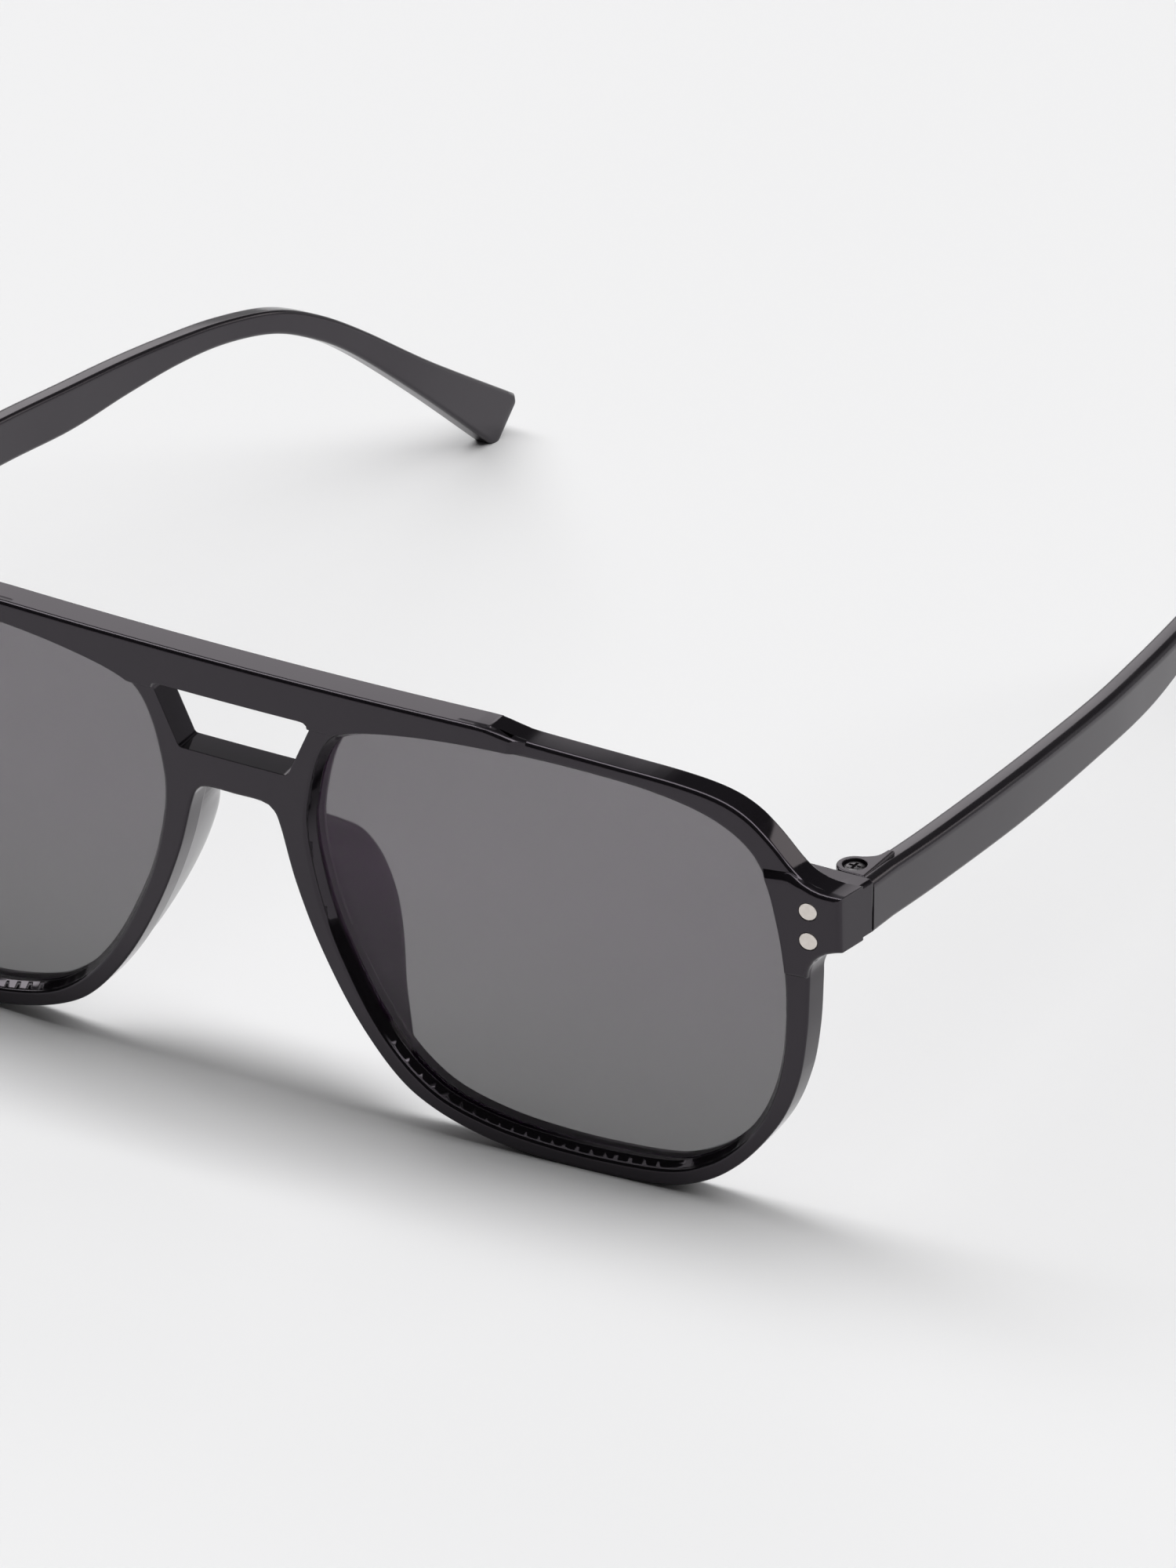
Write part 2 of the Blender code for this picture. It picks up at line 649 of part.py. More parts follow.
def make_screw(parts, tools, material):
    """Cross-head screw that is the hinge pin."""
    head_top = EAR_TOP - HEAD_SINK
    screw = cylinder("hinge_screw_left", HEAD_RADIUS, head_top - HEAD_HEIGHT, head_top,
                     (AXIS_X, AXIS_Y), parts, material=material)
    shank = cylinder("shank", SCREW_RADIUS, EAR_BOTTOM + FLOOR_GAP, head_top - HEAD_HEIGHT / 2,
                     (AXIS_X, AXIS_Y), tools, sides=24)
    combine(screw, [shank], "UNION")
    slots = []
    for half_x, half_y in ((SLOT_ARM, SLOT_HALF_WIDTH), (SLOT_HALF_WIDTH, SLOT_ARM)):
        slots.append(block("slot", (AXIS_X - half_x, AXIS_Y - half_y, head_top - SLOT_DEPTH),
                           (AXIS_X + half_x, AXIS_Y + half_y, head_top + CUT_MARGIN), tools))
    combine(screw, slots, "DIFFERENCE")
    return screw


def make_insert(parts, tools, material):
    """Threaded brass bush that holds the foot of the screw."""
    insert = cylinder("hinge_insert_left", INSERT_RADIUS, EAR_BOTTOM + FLOOR_GAP / 2,
                      EAR_BOTTOM + INSERT_HEIGHT, (AXIS_X, AXIS_Y), parts, material=material)
    bore = cylinder("insert_bore", SCREW_RADIUS + INSERT_GAP, EAR_BOTTOM - CUT_MARGIN, EAR_TOP,
                    (AXIS_X, AXIS_Y), tools)
    combine(insert, [bore], "DIFFERENCE")
    return insert


def place_on_axis(obj, side, empty):
    """Put an object's origin on its hinge axis and hang it from the hinge's empty."""
    shift = Vector((side * AXIS_X, AXIS_Y, 0.0)) * MM
    obj.data.transform(Matrix.Translation(-shift))
    obj.location = (0.0, 0.0, LIFT * MM)
    obj.parent = empty


def main():
    remove_everything()
    parts = make_collection("navigator_sunglasses")
    tools = make_collection("cutters", hidden=True)
    black = make_material("black_plastic", (0.012, 0.011, 0.012), 0.12)
    satin = make_material("temple_plastic", (0.016, 0.015, 0.017), 0.22)
    smoke = make_material("smoke_lens", (0.10, 0.085, 0.10), 0.05, transmission=0.8)
    pad_black = make_material("pad_plastic", (0.014, 0.013, 0.015), 0.18)
    silver = make_material("rivet_metal", (0.62, 0.59, 0.55), 0.35, metallic=1.0)
    steel = make_material("screw_steel", (0.03, 0.03, 0.03), 0.30, metallic=1.0)
    brass = make_material("insert_brass", (0.60, 0.45, 0.20), 0.35, metallic=1.0)

    make_front(parts, tools, black)
    make_rivets(parts, silver)
    for side, label in ((1, "left"), (-1, "right")):
        make_lens(side, label, parts, smoke)
        make_nose_pad(side, label, parts, pad_black)

    moving = (make_temple(parts, tools, satin), make_screw(parts, tools, steel),
              make_insert(parts, tools, brass))
    copies = [mirror_object(obj, obj.name.replace("left", "right"), parts) for obj in moving]
    for obj in parts.objects:
        obj.location = Vector((0.0, -OUTLINE_MIDDLE, LIFT)) * MM
    for side, label, group in ((1, "left", moving), (-1, "right", copies)):
        empty = bpy.data.objects.new(f"hinge_axis_{label}", None)
        parts.objects.link(empty)
        empty.location = Vector((side * AXIS_X, AXIS_Y - OUTLINE_MIDDLE, 0.0)) * MM
        for obj in group:
            place_on_axis(obj, side, empty)


main()
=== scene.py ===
"""Looks of the navigator sunglasses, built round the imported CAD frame.

Every CAD node is replaced by a finer mesh with a node-based material. The front's roundings
are broader than the CAD's, and the temple's bar runs forward to its joint in one loft.
Sizes are millimetres in the front's own flat plane (across, depth behind the rim's face,
height) until a piece is placed, and metres in the frame after that.
"""

import json
import math

import bmesh
import bpy
from mathutils import Matrix, Vector


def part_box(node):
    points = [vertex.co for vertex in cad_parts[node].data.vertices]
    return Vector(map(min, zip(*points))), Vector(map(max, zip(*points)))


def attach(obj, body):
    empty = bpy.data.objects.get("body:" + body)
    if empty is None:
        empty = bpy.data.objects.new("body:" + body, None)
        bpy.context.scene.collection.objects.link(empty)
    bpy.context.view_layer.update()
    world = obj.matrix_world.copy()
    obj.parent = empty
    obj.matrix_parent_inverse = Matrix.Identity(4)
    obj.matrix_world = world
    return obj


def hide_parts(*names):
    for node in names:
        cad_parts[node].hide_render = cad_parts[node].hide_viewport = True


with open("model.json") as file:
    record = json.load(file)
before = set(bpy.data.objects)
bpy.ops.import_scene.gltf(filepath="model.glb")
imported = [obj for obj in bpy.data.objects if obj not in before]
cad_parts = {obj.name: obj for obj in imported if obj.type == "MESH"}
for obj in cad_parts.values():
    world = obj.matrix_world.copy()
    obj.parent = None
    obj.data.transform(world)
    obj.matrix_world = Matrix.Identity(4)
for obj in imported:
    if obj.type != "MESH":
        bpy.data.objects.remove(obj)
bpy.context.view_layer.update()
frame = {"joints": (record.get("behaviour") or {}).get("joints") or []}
MM = 0.001
MERGE_DISTANCE = 0.002      # points closer than this become one after a Boolean
CREASE_ANGLE = 30.0         # edges that turn more than this stay sharp, in degrees

# Front; a lug is an end piece, the corner that carries the hinge
FRONT_THICKNESS = 3.2
PLATE_RISE = 0.6            # brow bar and end-piece plates stand proud of the rims
BROW_TOP = 49.6
BROW_BOTTOM = 44.4
PLATE_END = 34.4            # half-length of the raised brow bar
PLATE_RUN = 1.92            # length over which the ends of the brow bar ease down
PLATE_CROWDING = 1.5        # crowds the bar's levels towards its face
LUG_PLATE_SLOPE = 1.1       # drop of the plate's inner top edge, from its foot to its face
LUG_SLOPE_END = 65.0
LUG_SLOPE_RUN = 2.0
LUG_SIDE = 69.2
LUG_TOP = 38.5
LUG_BOTTOM = 32.2
LUG_LEDGE = 28.4
LUG_BLOCK_INNER = 62.6
LUG_BLOCK_SLANT = 1.0
LUG_CORNER = 0.35
RIM_BOTTOM = -0.45
WRAP = 0.872 * MM           # face-form curve: depth per half-width squared
TILT = math.radians(-2.25)
LUG_FLARE = 0.19            # widening of the end pieces towards their backs
FLARE_START = 64.0
FLARE_RUN = 5.0
EDGE_RADIUS = 0.5
PLATE_EDGE = 0.12
FRONT_EASE = 0.25           # rounding of the front's outer edge low down
FRONT_ROLL = 0.5            # the same along its top
ROLL_LOW = 20.0             # the rounding grows between these heights
ROLL_HIGH = 40.0
WALL_ROLL = 0.45            # rounding of the lens openings' front edge
REAR_EASE = 0.35
CUT_MARGIN = 1.0
BEND_STEP = 1.5             # spacing of the cuts that let the front bend smoothly
RUN_SPACING = 0.8           # points along a smooth outline
FLAT_LEVEL = -0.30          # the pair is cut flat here, where it rests on the floor
FRONT_FLAT = ((-80.0, -10.0, -5.0), (80.0, 10.0, FLAT_LEVEL))
TEMPLE_FLAT = ((40.0, 130.0, -5.0), (70.0, 160.0, FLAT_LEVEL))

# Lens seat, measured back from the rim's front face
SEAT_DRAFT = 0.75
SEAT_FRONT = 1.30
SEAT_BACK = 2.75
SEAT_DEPTH = 0.50
SEAT_STEP = 0.01
LENS_GAP = 0.20
LENS_EDGE = 0.12

# Bridge window
WINDOW_TOP_HALF = 9.5
WINDOW_BOTTOM_HALF = 6.4
WINDOW_TOP = 45.0
WINDOW_BOTTOM = 38.2
WINDOW_CORNERS = (1.0, 0.35)
WINDOW_DRAFT = 0.2

# Hinges
AXIS_X = 66.9
AXIS_Y = 9.45
KNUCKLE_RADIUS = 1.9
JOINT_Y = 7.3
JOINT_CUT = ((60.0, JOINT_Y, 25.0), (75.0, 20.0, 45.0))     # squares off a lug's back
JOINT_GAP = 0.25
EAR_TOP = 38.75
EAR_THICKNESS = 1.15
EAR_BOTTOM = 32.5
EAR_ROUND = 0.2
EAR_ARC = (-87, 153)        # start and sweep of the ear's nose, in degrees
EAR_BACK = ((66.2, 11.22), (67.0, 11.6), (67.9, 12.4), (68.3, 14.0))
EAR_OUTER = 69.0
EAR_SETBACK = 0.03
HINGE_GAP = 0.25
WEB_OVERLAP = 0.6
SCREW_RADIUS = 0.6
SCREW_HOLE_RADIUS = 0.8
HEAD_RADIUS = 1.1
HEAD_RECESS_RADIUS = 1.3
HEAD_HEIGHT = 0.6
HEAD_SINK = 0.15
HEAD_CROWN = 0.12
HEAD_EASE = 0.05
SHANK_EASE = 0.1
SLOT_LEVELS = ((-0.42, 0.30, 0.07), (-0.3, 0.55, 0.12), (0.3, 0.85, 0.24))   # height, arm, width
INSERT_RADIUS = 1.15
INSERT_HEIGHT = 0.8
INSERT_GAP = 0.15
INSERT_EASE = 0.08
BORE_STEP = 0.01
FLOOR_GAP = 0.1             # room under the screw and the insert

# Rivets
RIVET_X = 65.75
RIVET_HEIGHTS = (36.45, 33.0)
RIVET_RADIUS = 0.97
RIVET_DEPTH = 1.2
RIVET_CLEARANCE = 0.06
RIVET_PROUD = 0.02
RIVET_EDGE = 0.05
RIVET_DOME = 0.015

# Outlines of the front: smooth runs of (across, height) that meet at corners
FRONT_RUNS = (
    ((0, BROW_TOP), (16, BROW_TOP), (28.8, BROW_TOP), (30.4, 49.5), (31.8, 49.22), (33.2, 48.92),
     (34.8, 48.72), (44.0, 48.2), (51.0, 47.7), (55.6, 46.9), (58.7, 45.5), (61.2, 43.3),
     (63.4, 40.8), (65.1, 39.25), (66.9, 38.6), (LUG_SIDE, LUG_TOP)),
    ((LUG_SIDE, LUG_TOP), (LUG_SIDE, LUG_BOTTOM)),
    ((LUG_SIDE, LUG_BOTTOM), (67.6, 31.7), (66.2, 30.6), (65.5, 29.0), (65.4, 27.0),
     (65.1, 21.6), (64.3, 16.2), (62.7, 11.6), (60.3, 7.7), (57.3, 4.2), (53.8, 1.6),
     (49.3, 0.0), (42.0, RIM_BOTTOM), (35.0, -0.3), (28.4, 0.6), (22.4, 2.6), (18.1, 5.6),
     (13.5, 11.5), (9.7, 18.6), (7.0, 25.5), (5.4, 31.4), (4.6, 33.3), (3.2, 34.0), (0, 34.0)),
)
APERTURE = (
    (11.1, 43.0), (12.9, 44.5), (17.3, 45.7), (24.6, 46.7), (33.1, 47.1), (41.4, 46.95),
    (48.6, 46.3), (54.6, 44.8), (58.6, 42.4), (60.8, 39.1), (62.0, 34.6), (62.8, 29.3),
    (63.0, 23.9), (62.7, 18.6), (61.7, 13.8), (59.9, 9.6), (57.2, 6.1), (53.9, 3.5),
    (49.3, 1.7), (41.0, 1.2), (33.5, 1.5), (28.3, 2.3), (23.8, 3.7), (20.5, 5.8),
    (17.8, 8.5), (15.3, 11.9), (12.9, 16.3), (10.4, 22.1), (8.8, 28.4), (8.35, 33.0),
    (8.9, 37.0), (9.8, 40.4),
)
LUG_PLATE_RUNS = (
    ((58.0, 39.9), (63.6, 40.2)),
    ((63.6, 40.2), (65.1, 39.25), (66.9, 38.6), (LUG_SIDE, LUG_TOP)),
    ((LUG_SIDE, LUG_TOP), (LUG_SIDE, LUG_BOTTOM)),
    ((LUG_SIDE, LUG_BOTTOM), (67.6, 31.7), (66.2, 30.6), (65.5, 29.2), (65.4, LUG_LEDGE)),
    ((65.4, LUG_LEDGE), (58.0, LUG_LEDGE)),
    ((58.0, LUG_LEDGE), (58.0, 39.9)),
)

# Temple stations: distance back, outer face, middle height, height and pitch (degrees down)
TEMPLE_THICKNESS = 2.6
TEMPLE_TOP_ROUND = (1.0, 0.6)       # most radius, and most share of half the height
TEMPLE_ROUND = (0.55, 0.4)
TEMPLE_START = (70.20, 35.62, 6.10, 0.0)    # the same, without the distance, at the joint
TEMPLE_STATIONS = (
    (11.9, 70.25, 35.45, 6.05, 3.0),
    (23.0, 70.35, 34.55, 6.00, 5.0),
    (41.0, 70.15, 33.30, 6.00, 4.5),
    (60.0, 69.20, 32.00, 5.55, 4.0),
    (72.0, 68.10, 31.20, 5.40, 3.0),
    (82.0, 67.00, 31.10, 4.35, 3.0),
    (91.0, 65.70, 30.90, 3.30, 6.0),
    (99.0, 64.45, 30.15, 2.80, 14.0),
    (107.0, 62.95, 28.45, 2.80, 27.0),
    (113.5, 61.65, 25.50, 2.85, 36.0),
    (120.5, 60.20, 21.00, 3.00, 40.0),
    (131.8, 57.90, 12.20, 4.15, 42.0),
    (145.5, 56.10, 1.85, 6.80, 50.0),
)
CAP_LENGTH = 0.855
CAP_DRIFT = 0.19            # the rounded end leans in by this
CAP_SHRINK = 0.1875
CAP_FULLNESS = 0.55

# Nose pad stations: height, reach behind the rim, opening away from the nose, thickness
PAD_STATIONS = (
    (31.6, 1.0, 0.0, 1.0), (30.6, 3.0, 0.1, 1.2), (29.2, 5.0, 0.6, 1.4), (27.2, 7.2, 1.3, 1.5),
    (24.0, 8.5, 1.55, 1.6), (20.0, 8.5, 1.5, 1.6), (16.0, 7.1, 1.15, 1.5), (12.0, 4.5, 0.65, 1.4),
    (9.0, 2.5, 0.3, 1.2), (7.0, 1.0, 0.0, 1.0),
)
PAD_GAP = 0.1
# Its profile, round from the inner foot: shares of the opening, the thickness and the reach
PAD_PROFILE = (
    (0.0, 0.0, 0.0), (0.40, 0.0, 0.5), (0.85, 0.0, 0.9), (1.0, 0.3, 1.0), (1.0, 0.75, 0.97),
    (1.0, 1.0, 0.85), (0.5, 1.1, 0.4), (0.0, 1.2, 0.0),
)

# Camera: angles round and above, the flat-plane point it looks at, distance and focal length
CAMERA_ANGLES = (0.52193651, 0.48328049)
CAMERA_TARGET = (41.2494, 0.0, 45.47485)
CAMERA_DISTANCE = 1.26781877
LENS_MM = 288.0
SENSOR_MM = 36.0

# Studio
FLOOR_REACH = 6.0
SURROUND = (0.38, 0.38, 0.385)
PATCH_FACING = 0.2          # a patch shows only where the direction faces it this much
# Soft rectangles in the surround: direction, long side, (half-size, soft edge) twice, radiance
PATCHES = (
    # bright back wall
    ((-0.62, 0.70, 0.42), (1, 0.9, 0), ((0.36, 0.20), (0.12, 0.12)), (1.6, 1.56, 1.58)),
    # dark cards: in front, to the right and at the back right
    ((-0.40, -0.62, 0.62), (1, -0.6, 0), ((0.90, 0.1), (0.69, 0.04)), (0.02, 0.02, 0.02)),
    ((0.85, -0.25, 0.45), (0, 1, 0), ((0.55, 0.1), (0.42, 0.08)), (0.03, 0.03, 0.03)),
    ((0.15, 0.80, 0.58), (1, 0, 0), ((0.45, 0.10), (0.24, 0.06)), (0.03, 0.03, 0.03)),
    # window at the back right
    ((0.53, 0.77, 0.36), (1, 0, 0), ((0.12, 0.01), (0.10, 0.01)), (1.8, 1.75, 1.65)),
    # overhead strip
    ((0.0, 0.15, 1.0), (1, 0, 0), ((0.80, 0.08), (0.17, 0.03)), (5.0, 5.0, 5.0)),
)

# The frame's origin lies under the middle of the pair, on the floor
HINGE_Y = frame["joints"][0]["pos_m"][1] / MM
HEAD_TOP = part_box("hinge_screw_left")[1].z / MM
PLACE = Vector((0.0, HINGE_Y - AXIS_Y, HEAD_TOP - (EAR_TOP - HEAD_SINK)))


# Outlines

def clamped(value):
    return min(max(value, 0.0), 1.0)


def curve_point(p0, p1, p2, p3, t):
    """Point on a Catmull-Rom curve, at a share t of the way from p1 to p2."""
    return 0.5 * (2 * p1 + (p2 - p0) * t
                  + (2 * p0 - 5 * p1 + 4 * p2 - p3) * t ** 2
                  + (3 * p1 - p0 - 3 * p2 + p3) * t ** 3)


def circle(radius, sides):
    return [(radius * math.cos(2 * math.pi * k / sides), radius * math.sin(2 * math.pi * k / sides))
            for k in range(sides)]


def smooth_run(points, steps=0, closed=False):
    """Points along a Catmull-Rom curve through a run of (across, height) points: a given
    number in each span, or evenly spaced."""
    count = len(points)
    if count == 2 and not closed:
        return [Vector(points[0]), Vector(points[1])]
    result = []
    for index in range(count if closed else count - 1):
        before = index - 1 if closed or index > 0 else index
        after = index + 2 if closed or index + 2 < count else index + 1
        p0, p1, p2, p3 = (Vector(points[k % count]) for k in (before, index, index + 1, after))
        spans = steps or max(1, round((p2 - p1).length / RUN_SPACING))
        result += [curve_point(p0, p1, p2, p3, step / spans) for step in range(spans)]
    if not closed:
        result.append(Vector(points[-1]))
    return result


def smooth_stations(stations, steps):
    """More stations on a smooth curve through the given ones."""
    padded = (stations[0],) + tuple(stations) + (stations[-1],)
    result = []
    for p0, p1, p2, p3 in zip(padded, padded[1:], padded[2:], padded[3:]):
        for step in range(steps):
            result.append(tuple(curve_point(*values, step / steps)
                                for values in zip(p0, p1, p2, p3)))
    result.append(stations[-1])
    return result


def joined_runs(runs):
    """Outline through smooth runs that meet at corners, without its last point."""
    return [point for run in runs for point in smooth_run(run)[:-1]]


def front_outline():
    half = joined_runs(FRONT_RUNS) + [Vector(FRONT_RUNS[-1][-1])]
    return half + [Vector((-p.x, p.y)) for p in reversed(half[1:-1])]


def signed_area(outline):
    following = outline[1:] + outline[:1]
    return 0.5 * sum(a.x * b.y - b.x * a.y for a, b in zip(outline, following))


def inset(outline, distance):
    """Move every point of a closed outline inwards by a distance, along its own normal."""
    direction = 1.0 if signed_area(outline) > 0 else -1.0
    moved = []
    count = len(outline)
    for index, point in enumerate(outline):
        before = (point - outline[index - 1]).normalized()
        after = (outline[(index + 1) % count] - point).normalized()
        normal_before = Vector((-before.y, before.x))
        normal_after = Vector((-after.y, after.x))
        normal = (normal_before + normal_after).normalized()
        stretch = min(1.0 / max(normal.dot(normal_after), 0.5), 1.5)
        moved.append(point + normal * (direction * distance * stretch))
    return moved


def mirrored(outline):
    return [Vector((-p.x, p.y)) for p in reversed(outline)]


def quarter(steps):
    """(run, rise) shares of a quarter circle, from (1, 0) to (0, 1)."""
    angles = [math.pi / 2 * step / steps for step in range(steps + 1)]
    return [(1 - math.sin(a), 1 - math.cos(a)) for a in angles]


# Meshes

def new_object(name, mesh):
    data = bpy.data.meshes.new(name)
    mesh.to_mesh(data)
    mesh.free()
    obj = bpy.data.objects.new(name, data)
    bpy.context.scene.collection.objects.link(obj)
    return obj


def loft(name, sections):
    """Closed solid through sections that have the same number of points."""
    mesh = bmesh.new()
    rings = [[mesh.verts.new(Vector(p)) for p in section] for section in sections]
    for ring, following in zip(rings, rings[1:]):
        count = len(ring)
        for index in range(count):
            after = (index + 1) % count
            mesh.faces.new((ring[index], ring[after], following[after], following[index]))
    mesh.faces.new(list(reversed(rings[0])))
    mesh.faces.new(rings[-1])
    bmesh.ops.recalc_face_normals(mesh, faces=mesh.faces)
    return new_object(name, mesh)


def lathe(name, profile, centre, sides=48):
    """Solid of revolution about an upright axis: the profile is (radius, height) from the
    bottom of the axis to its top."""
    mesh = bmesh.new()
    rings = []
    for radius, height in profile:
        if radius == 0:
            rings.append([mesh.verts.new((centre[0], centre[1], height))])
        else:
            rings.append([mesh.verts.new((centre[0] + x, centre[1] + y, height))
                          for x, y in circle(radius, sides)])
    for low, high in zip(rings, rings[1:]):
        for k in range(sides):
            after = (k + 1) % sides
            if len(low) == 1:
                mesh.faces.new((low[0], high[after], high[k]))
            elif len(high) == 1:
                mesh.faces.new((low[k], low[after], high[0]))
            else:
                mesh.faces.new((low[k], low[after], high[after], high[k]))
    bmesh.ops.recalc_face_normals(mesh, faces=mesh.faces)
    return new_object(name, mesh)


def cylinder(name, radius, low, high, centre=(AXIS_X, AXIS_Y), sides=64):
    return lathe(name, ((0, low), (radius, low), (radius, high), (0, high)), centre, sides)


def block(name, low, high):
    mesh = bmesh.new()
    bmesh.ops.create_cube(mesh, size=1.0)
    size = Vector(high) - Vector(low)
    place = Matrix.Translation((Vector(high) + Vector(low)) / 2) @ Matrix.Diagonal((*size, 1.0))
    bmesh.ops.transform(mesh, matrix=place, verts=mesh.verts)
    return new_object(name, mesh)


def combine(target, others, operation):
    """Exact Booleans, applied one after another; the used pieces are dropped."""
    for other in others:
        modifier = target.modifiers.new(operation, "BOOLEAN")
        modifier.operation = operation
        modifier.solver = "EXACT"
        modifier.object = other
        graph = bpy.context.evaluated_depsgraph_get()
        result = bpy.data.meshes.new_from_object(target.evaluated_get(graph))
        target.modifiers.clear()
        target.data = result
        bpy.data.objects.remove(other, do_unlink=True)
    mesh = bmesh.new()
    mesh.from_mesh(target.data)
    bmesh.ops.remove_doubles(mesh, verts=mesh.verts, dist=MERGE_DISTANCE)
    bmesh.ops.dissolve_degenerate(mesh, edges=mesh.edges, dist=MERGE_DISTANCE)
    mesh.to_mesh(target.data)
    mesh.free()
    return target


def slice_across(obj, spacing, limit):
    """Cut faces at even steps across the front so that the bend follows a smooth curve."""
    mesh = bmesh.new()
    mesh.from_mesh(obj.data)
    count = int(limit / spacing)
    for index in range(-count, count + 1):
        geometry = mesh.verts[:] + mesh.edges[:] + mesh.faces[:]
        bmesh.ops.bisect_plane(mesh, geom=geometry, dist=1e-4,
                               plane_co=(index * spacing, 0, 0), plane_no=(1, 0, 0))
    mesh.to_mesh(obj.data)
    mesh.free()


def wrapped(point):
    """Place of a flat-plane point (across, depth, height) on the finished front."""
    u, depth, w = point
    share = clamped((abs(u) - FLARE_START) / FLARE_RUN)
    u += math.copysign(LUG_FLARE * max(depth + PLATE_RISE, 0.0) * share, u)
    back = depth + WRAP * u * u
    return Vector((u, back * math.cos(TILT) + w * math.sin(TILT),
                   w * math.cos(TILT) - back * math.sin(TILT)))


def wrap_object(obj):
    for vertex in obj.data.vertices:
        vertex.co = wrapped(vertex.co)


def plate_sections(levels):
    return [[(p.x, depth, p.y) for p in outline] for outline, depth in levels]


def shade(obj):
    """Smooth shading with creases at real edges, and flat faces that stay flat."""
    mesh = bmesh.new()
    mesh.from_mesh(obj.data)
    for face in mesh.faces:
        face.smooth = True
    limit = math.radians(CREASE_ANGLE)
    for edge in mesh.edges:
        edge.smooth = len(edge.link_faces) == 2 and edge.calc_face_angle(0.0) < limit
    mesh.to_mesh(obj.data)
    mesh.free()
    weighted = obj.modifiers.new("weighted", "WEIGHTED_NORMAL")
    weighted.keep_sharp = True
    weighted.weight = 80


def mirror_copy(obj, name):
    data = obj.data.copy()
    data.transform(Matrix.Diagonal((-1.0, 1.0, 1.0, 1.0)))
    data.flip_normals()
    copy = bpy.data.objects.new(name, data)
    bpy.context.scene.collection.objects.link(copy)
    return copy


def finish_piece(obj, node, body, material):
    """Put a piece in the frame, hand it to its body and give it its finish."""
    obj.data.transform(Matrix.Diagonal((MM, MM, MM, 1.0)) @ Matrix.Translation(PLACE))
    obj.data.materials.clear()
    obj.data.materials.append(material)
    shade(obj)
    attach(obj, body)
    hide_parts(node)
    return obj


# Materials

def add_node(tree, kind, **settings):
    node = tree.nodes.new(kind)
    for key, value in settings.items():
        setattr(node, key, value)
    return node


def map_range(node, start, end, low, high):
    """Set a Map Range node to turn start..end into low..high."""
    for key, number in zip(("From Min", "From Max", "To Min", "To Max"), (start, end, low, high)):
        node.inputs[key].default_value = number


class Nodes:
    """Short names for the few shader nodes that the finishes share."""

    def __init__(self, name):
        self.material = bpy.data.materials.new(name)
        self.material.use_nodes = True
        self.tree = self.material.node_tree
        self.shader = self.tree.nodes["Principled BSDF"]
        self.place = self.add("ShaderNodeTexCoord").outputs["Object"]

    def add(self, kind, **settings):
        return add_node(self.tree, kind, **settings)

    def link(self, source, target):
        self.tree.links.new(source, target)

    def noise(self, scale, detail=2.0, roughness=0.5):
        node = self.add("ShaderNodeTexNoise")
        node.inputs["Scale"].default_value = scale
        node.inputs["Detail"].default_value = detail
        node.inputs["Roughness"].default_value = roughness
        self.link(self.place, node.inputs["Vector"])
        return node.outputs["Fac"]

    def ramp(self, value, low, high, start=0.35, end=0.65):
        node = self.add("ShaderNodeMapRange")
        map_range(node, start, end, low, high)
        self.link(value, node.inputs["Value"])
        return node.outputs["Result"]

    def mix(self, factor, first, second):
        node = self.add("ShaderNodeMix", data_type="RGBA")
        self.link(factor, node.inputs["Factor"])
        node.inputs["A"].default_value = (*first, 1.0)
        node.inputs["B"].default_value = (*second, 1.0)
        return node.outputs["Result"]

    def bump(self, height, distance, normal=None):
        node = self.add("ShaderNodeBump")
        node.inputs["Distance"].default_value = distance
        self.link(height, node.inputs["Height"])
        if normal:
            self.link(normal, node.inputs["Normal"])
        return node.outputs["Normal"]

    def set(self, **values):
        for key, value in values.items():
            socket = self.shader.inputs[key.replace("_", " ")]
            if isinstance(value, bpy.types.NodeSocket):
                self.link(value, socket)
            else:
                socket.default_value = value
        return self.material


def plastic(name, dark, light, gloss, haze, wave, grain):
    """Moulded black plastic: cloudy gloss, long ripples, a fine skin and soft edges."""
    n = Nodes(name)
    colour = n.mix(n.noise(140.0, 3.0), dark, light)
    roughness = n.ramp(n.noise(90.0, 4.0, 0.6), gloss, haze)
    edges = n.add("ShaderNodeBevel", samples=4)
    edges.inputs["Radius"].default_value = 0.15 * MM
    ripple = n.bump(n.noise(160.0, 1.0), wave * MM, normal=edges.outputs["Normal"])
    skin = n.bump(n.noise(5200.0, 1.0), grain * MM, normal=ripple)
    return n.set(Base_Color=colour, Roughness=roughness, Normal=skin, IOR=1.5,
                 Specular_Tint=(0.98, 0.88, 1.0, 1.0))


def smoke_glass(name):
    """Smoke lens whose colour darkens towards its bottom: painted shade, standing in for the floor
    behind it that lies in the rim's shadow.
    """
    n = Nodes(name)
    split = n.add("ShaderNodeSeparateXYZ")
    n.link(n.place, split.inputs[0])
    # painted shade: the lens colour is lighter at its top and darker towards its bottom
    height = n.ramp(split.outputs["Z"], 0.0, 1.0, 0.004, 0.030)
    cloud = n.ramp(n.noise(60.0, 2.0), -0.06, 0.06)
    share = n.add("ShaderNodeMath", operation="ADD", use_clamp=True)
    n.link(height, share.inputs[0])
    n.link(cloud, share.inputs[1])
    colour = n.mix(share.outputs[0], (0.008, 0.002, 0.010), (0.046, 0.014, 0.050))
    roughness = n.ramp(n.noise(400.0, 4.0, 0.6), 0.01, 0.035)
    return n.set(Base_Color=colour, Roughness=roughness, IOR=1.5, Alpha=0.60,
                 Specular_IOR_Level=0.6)


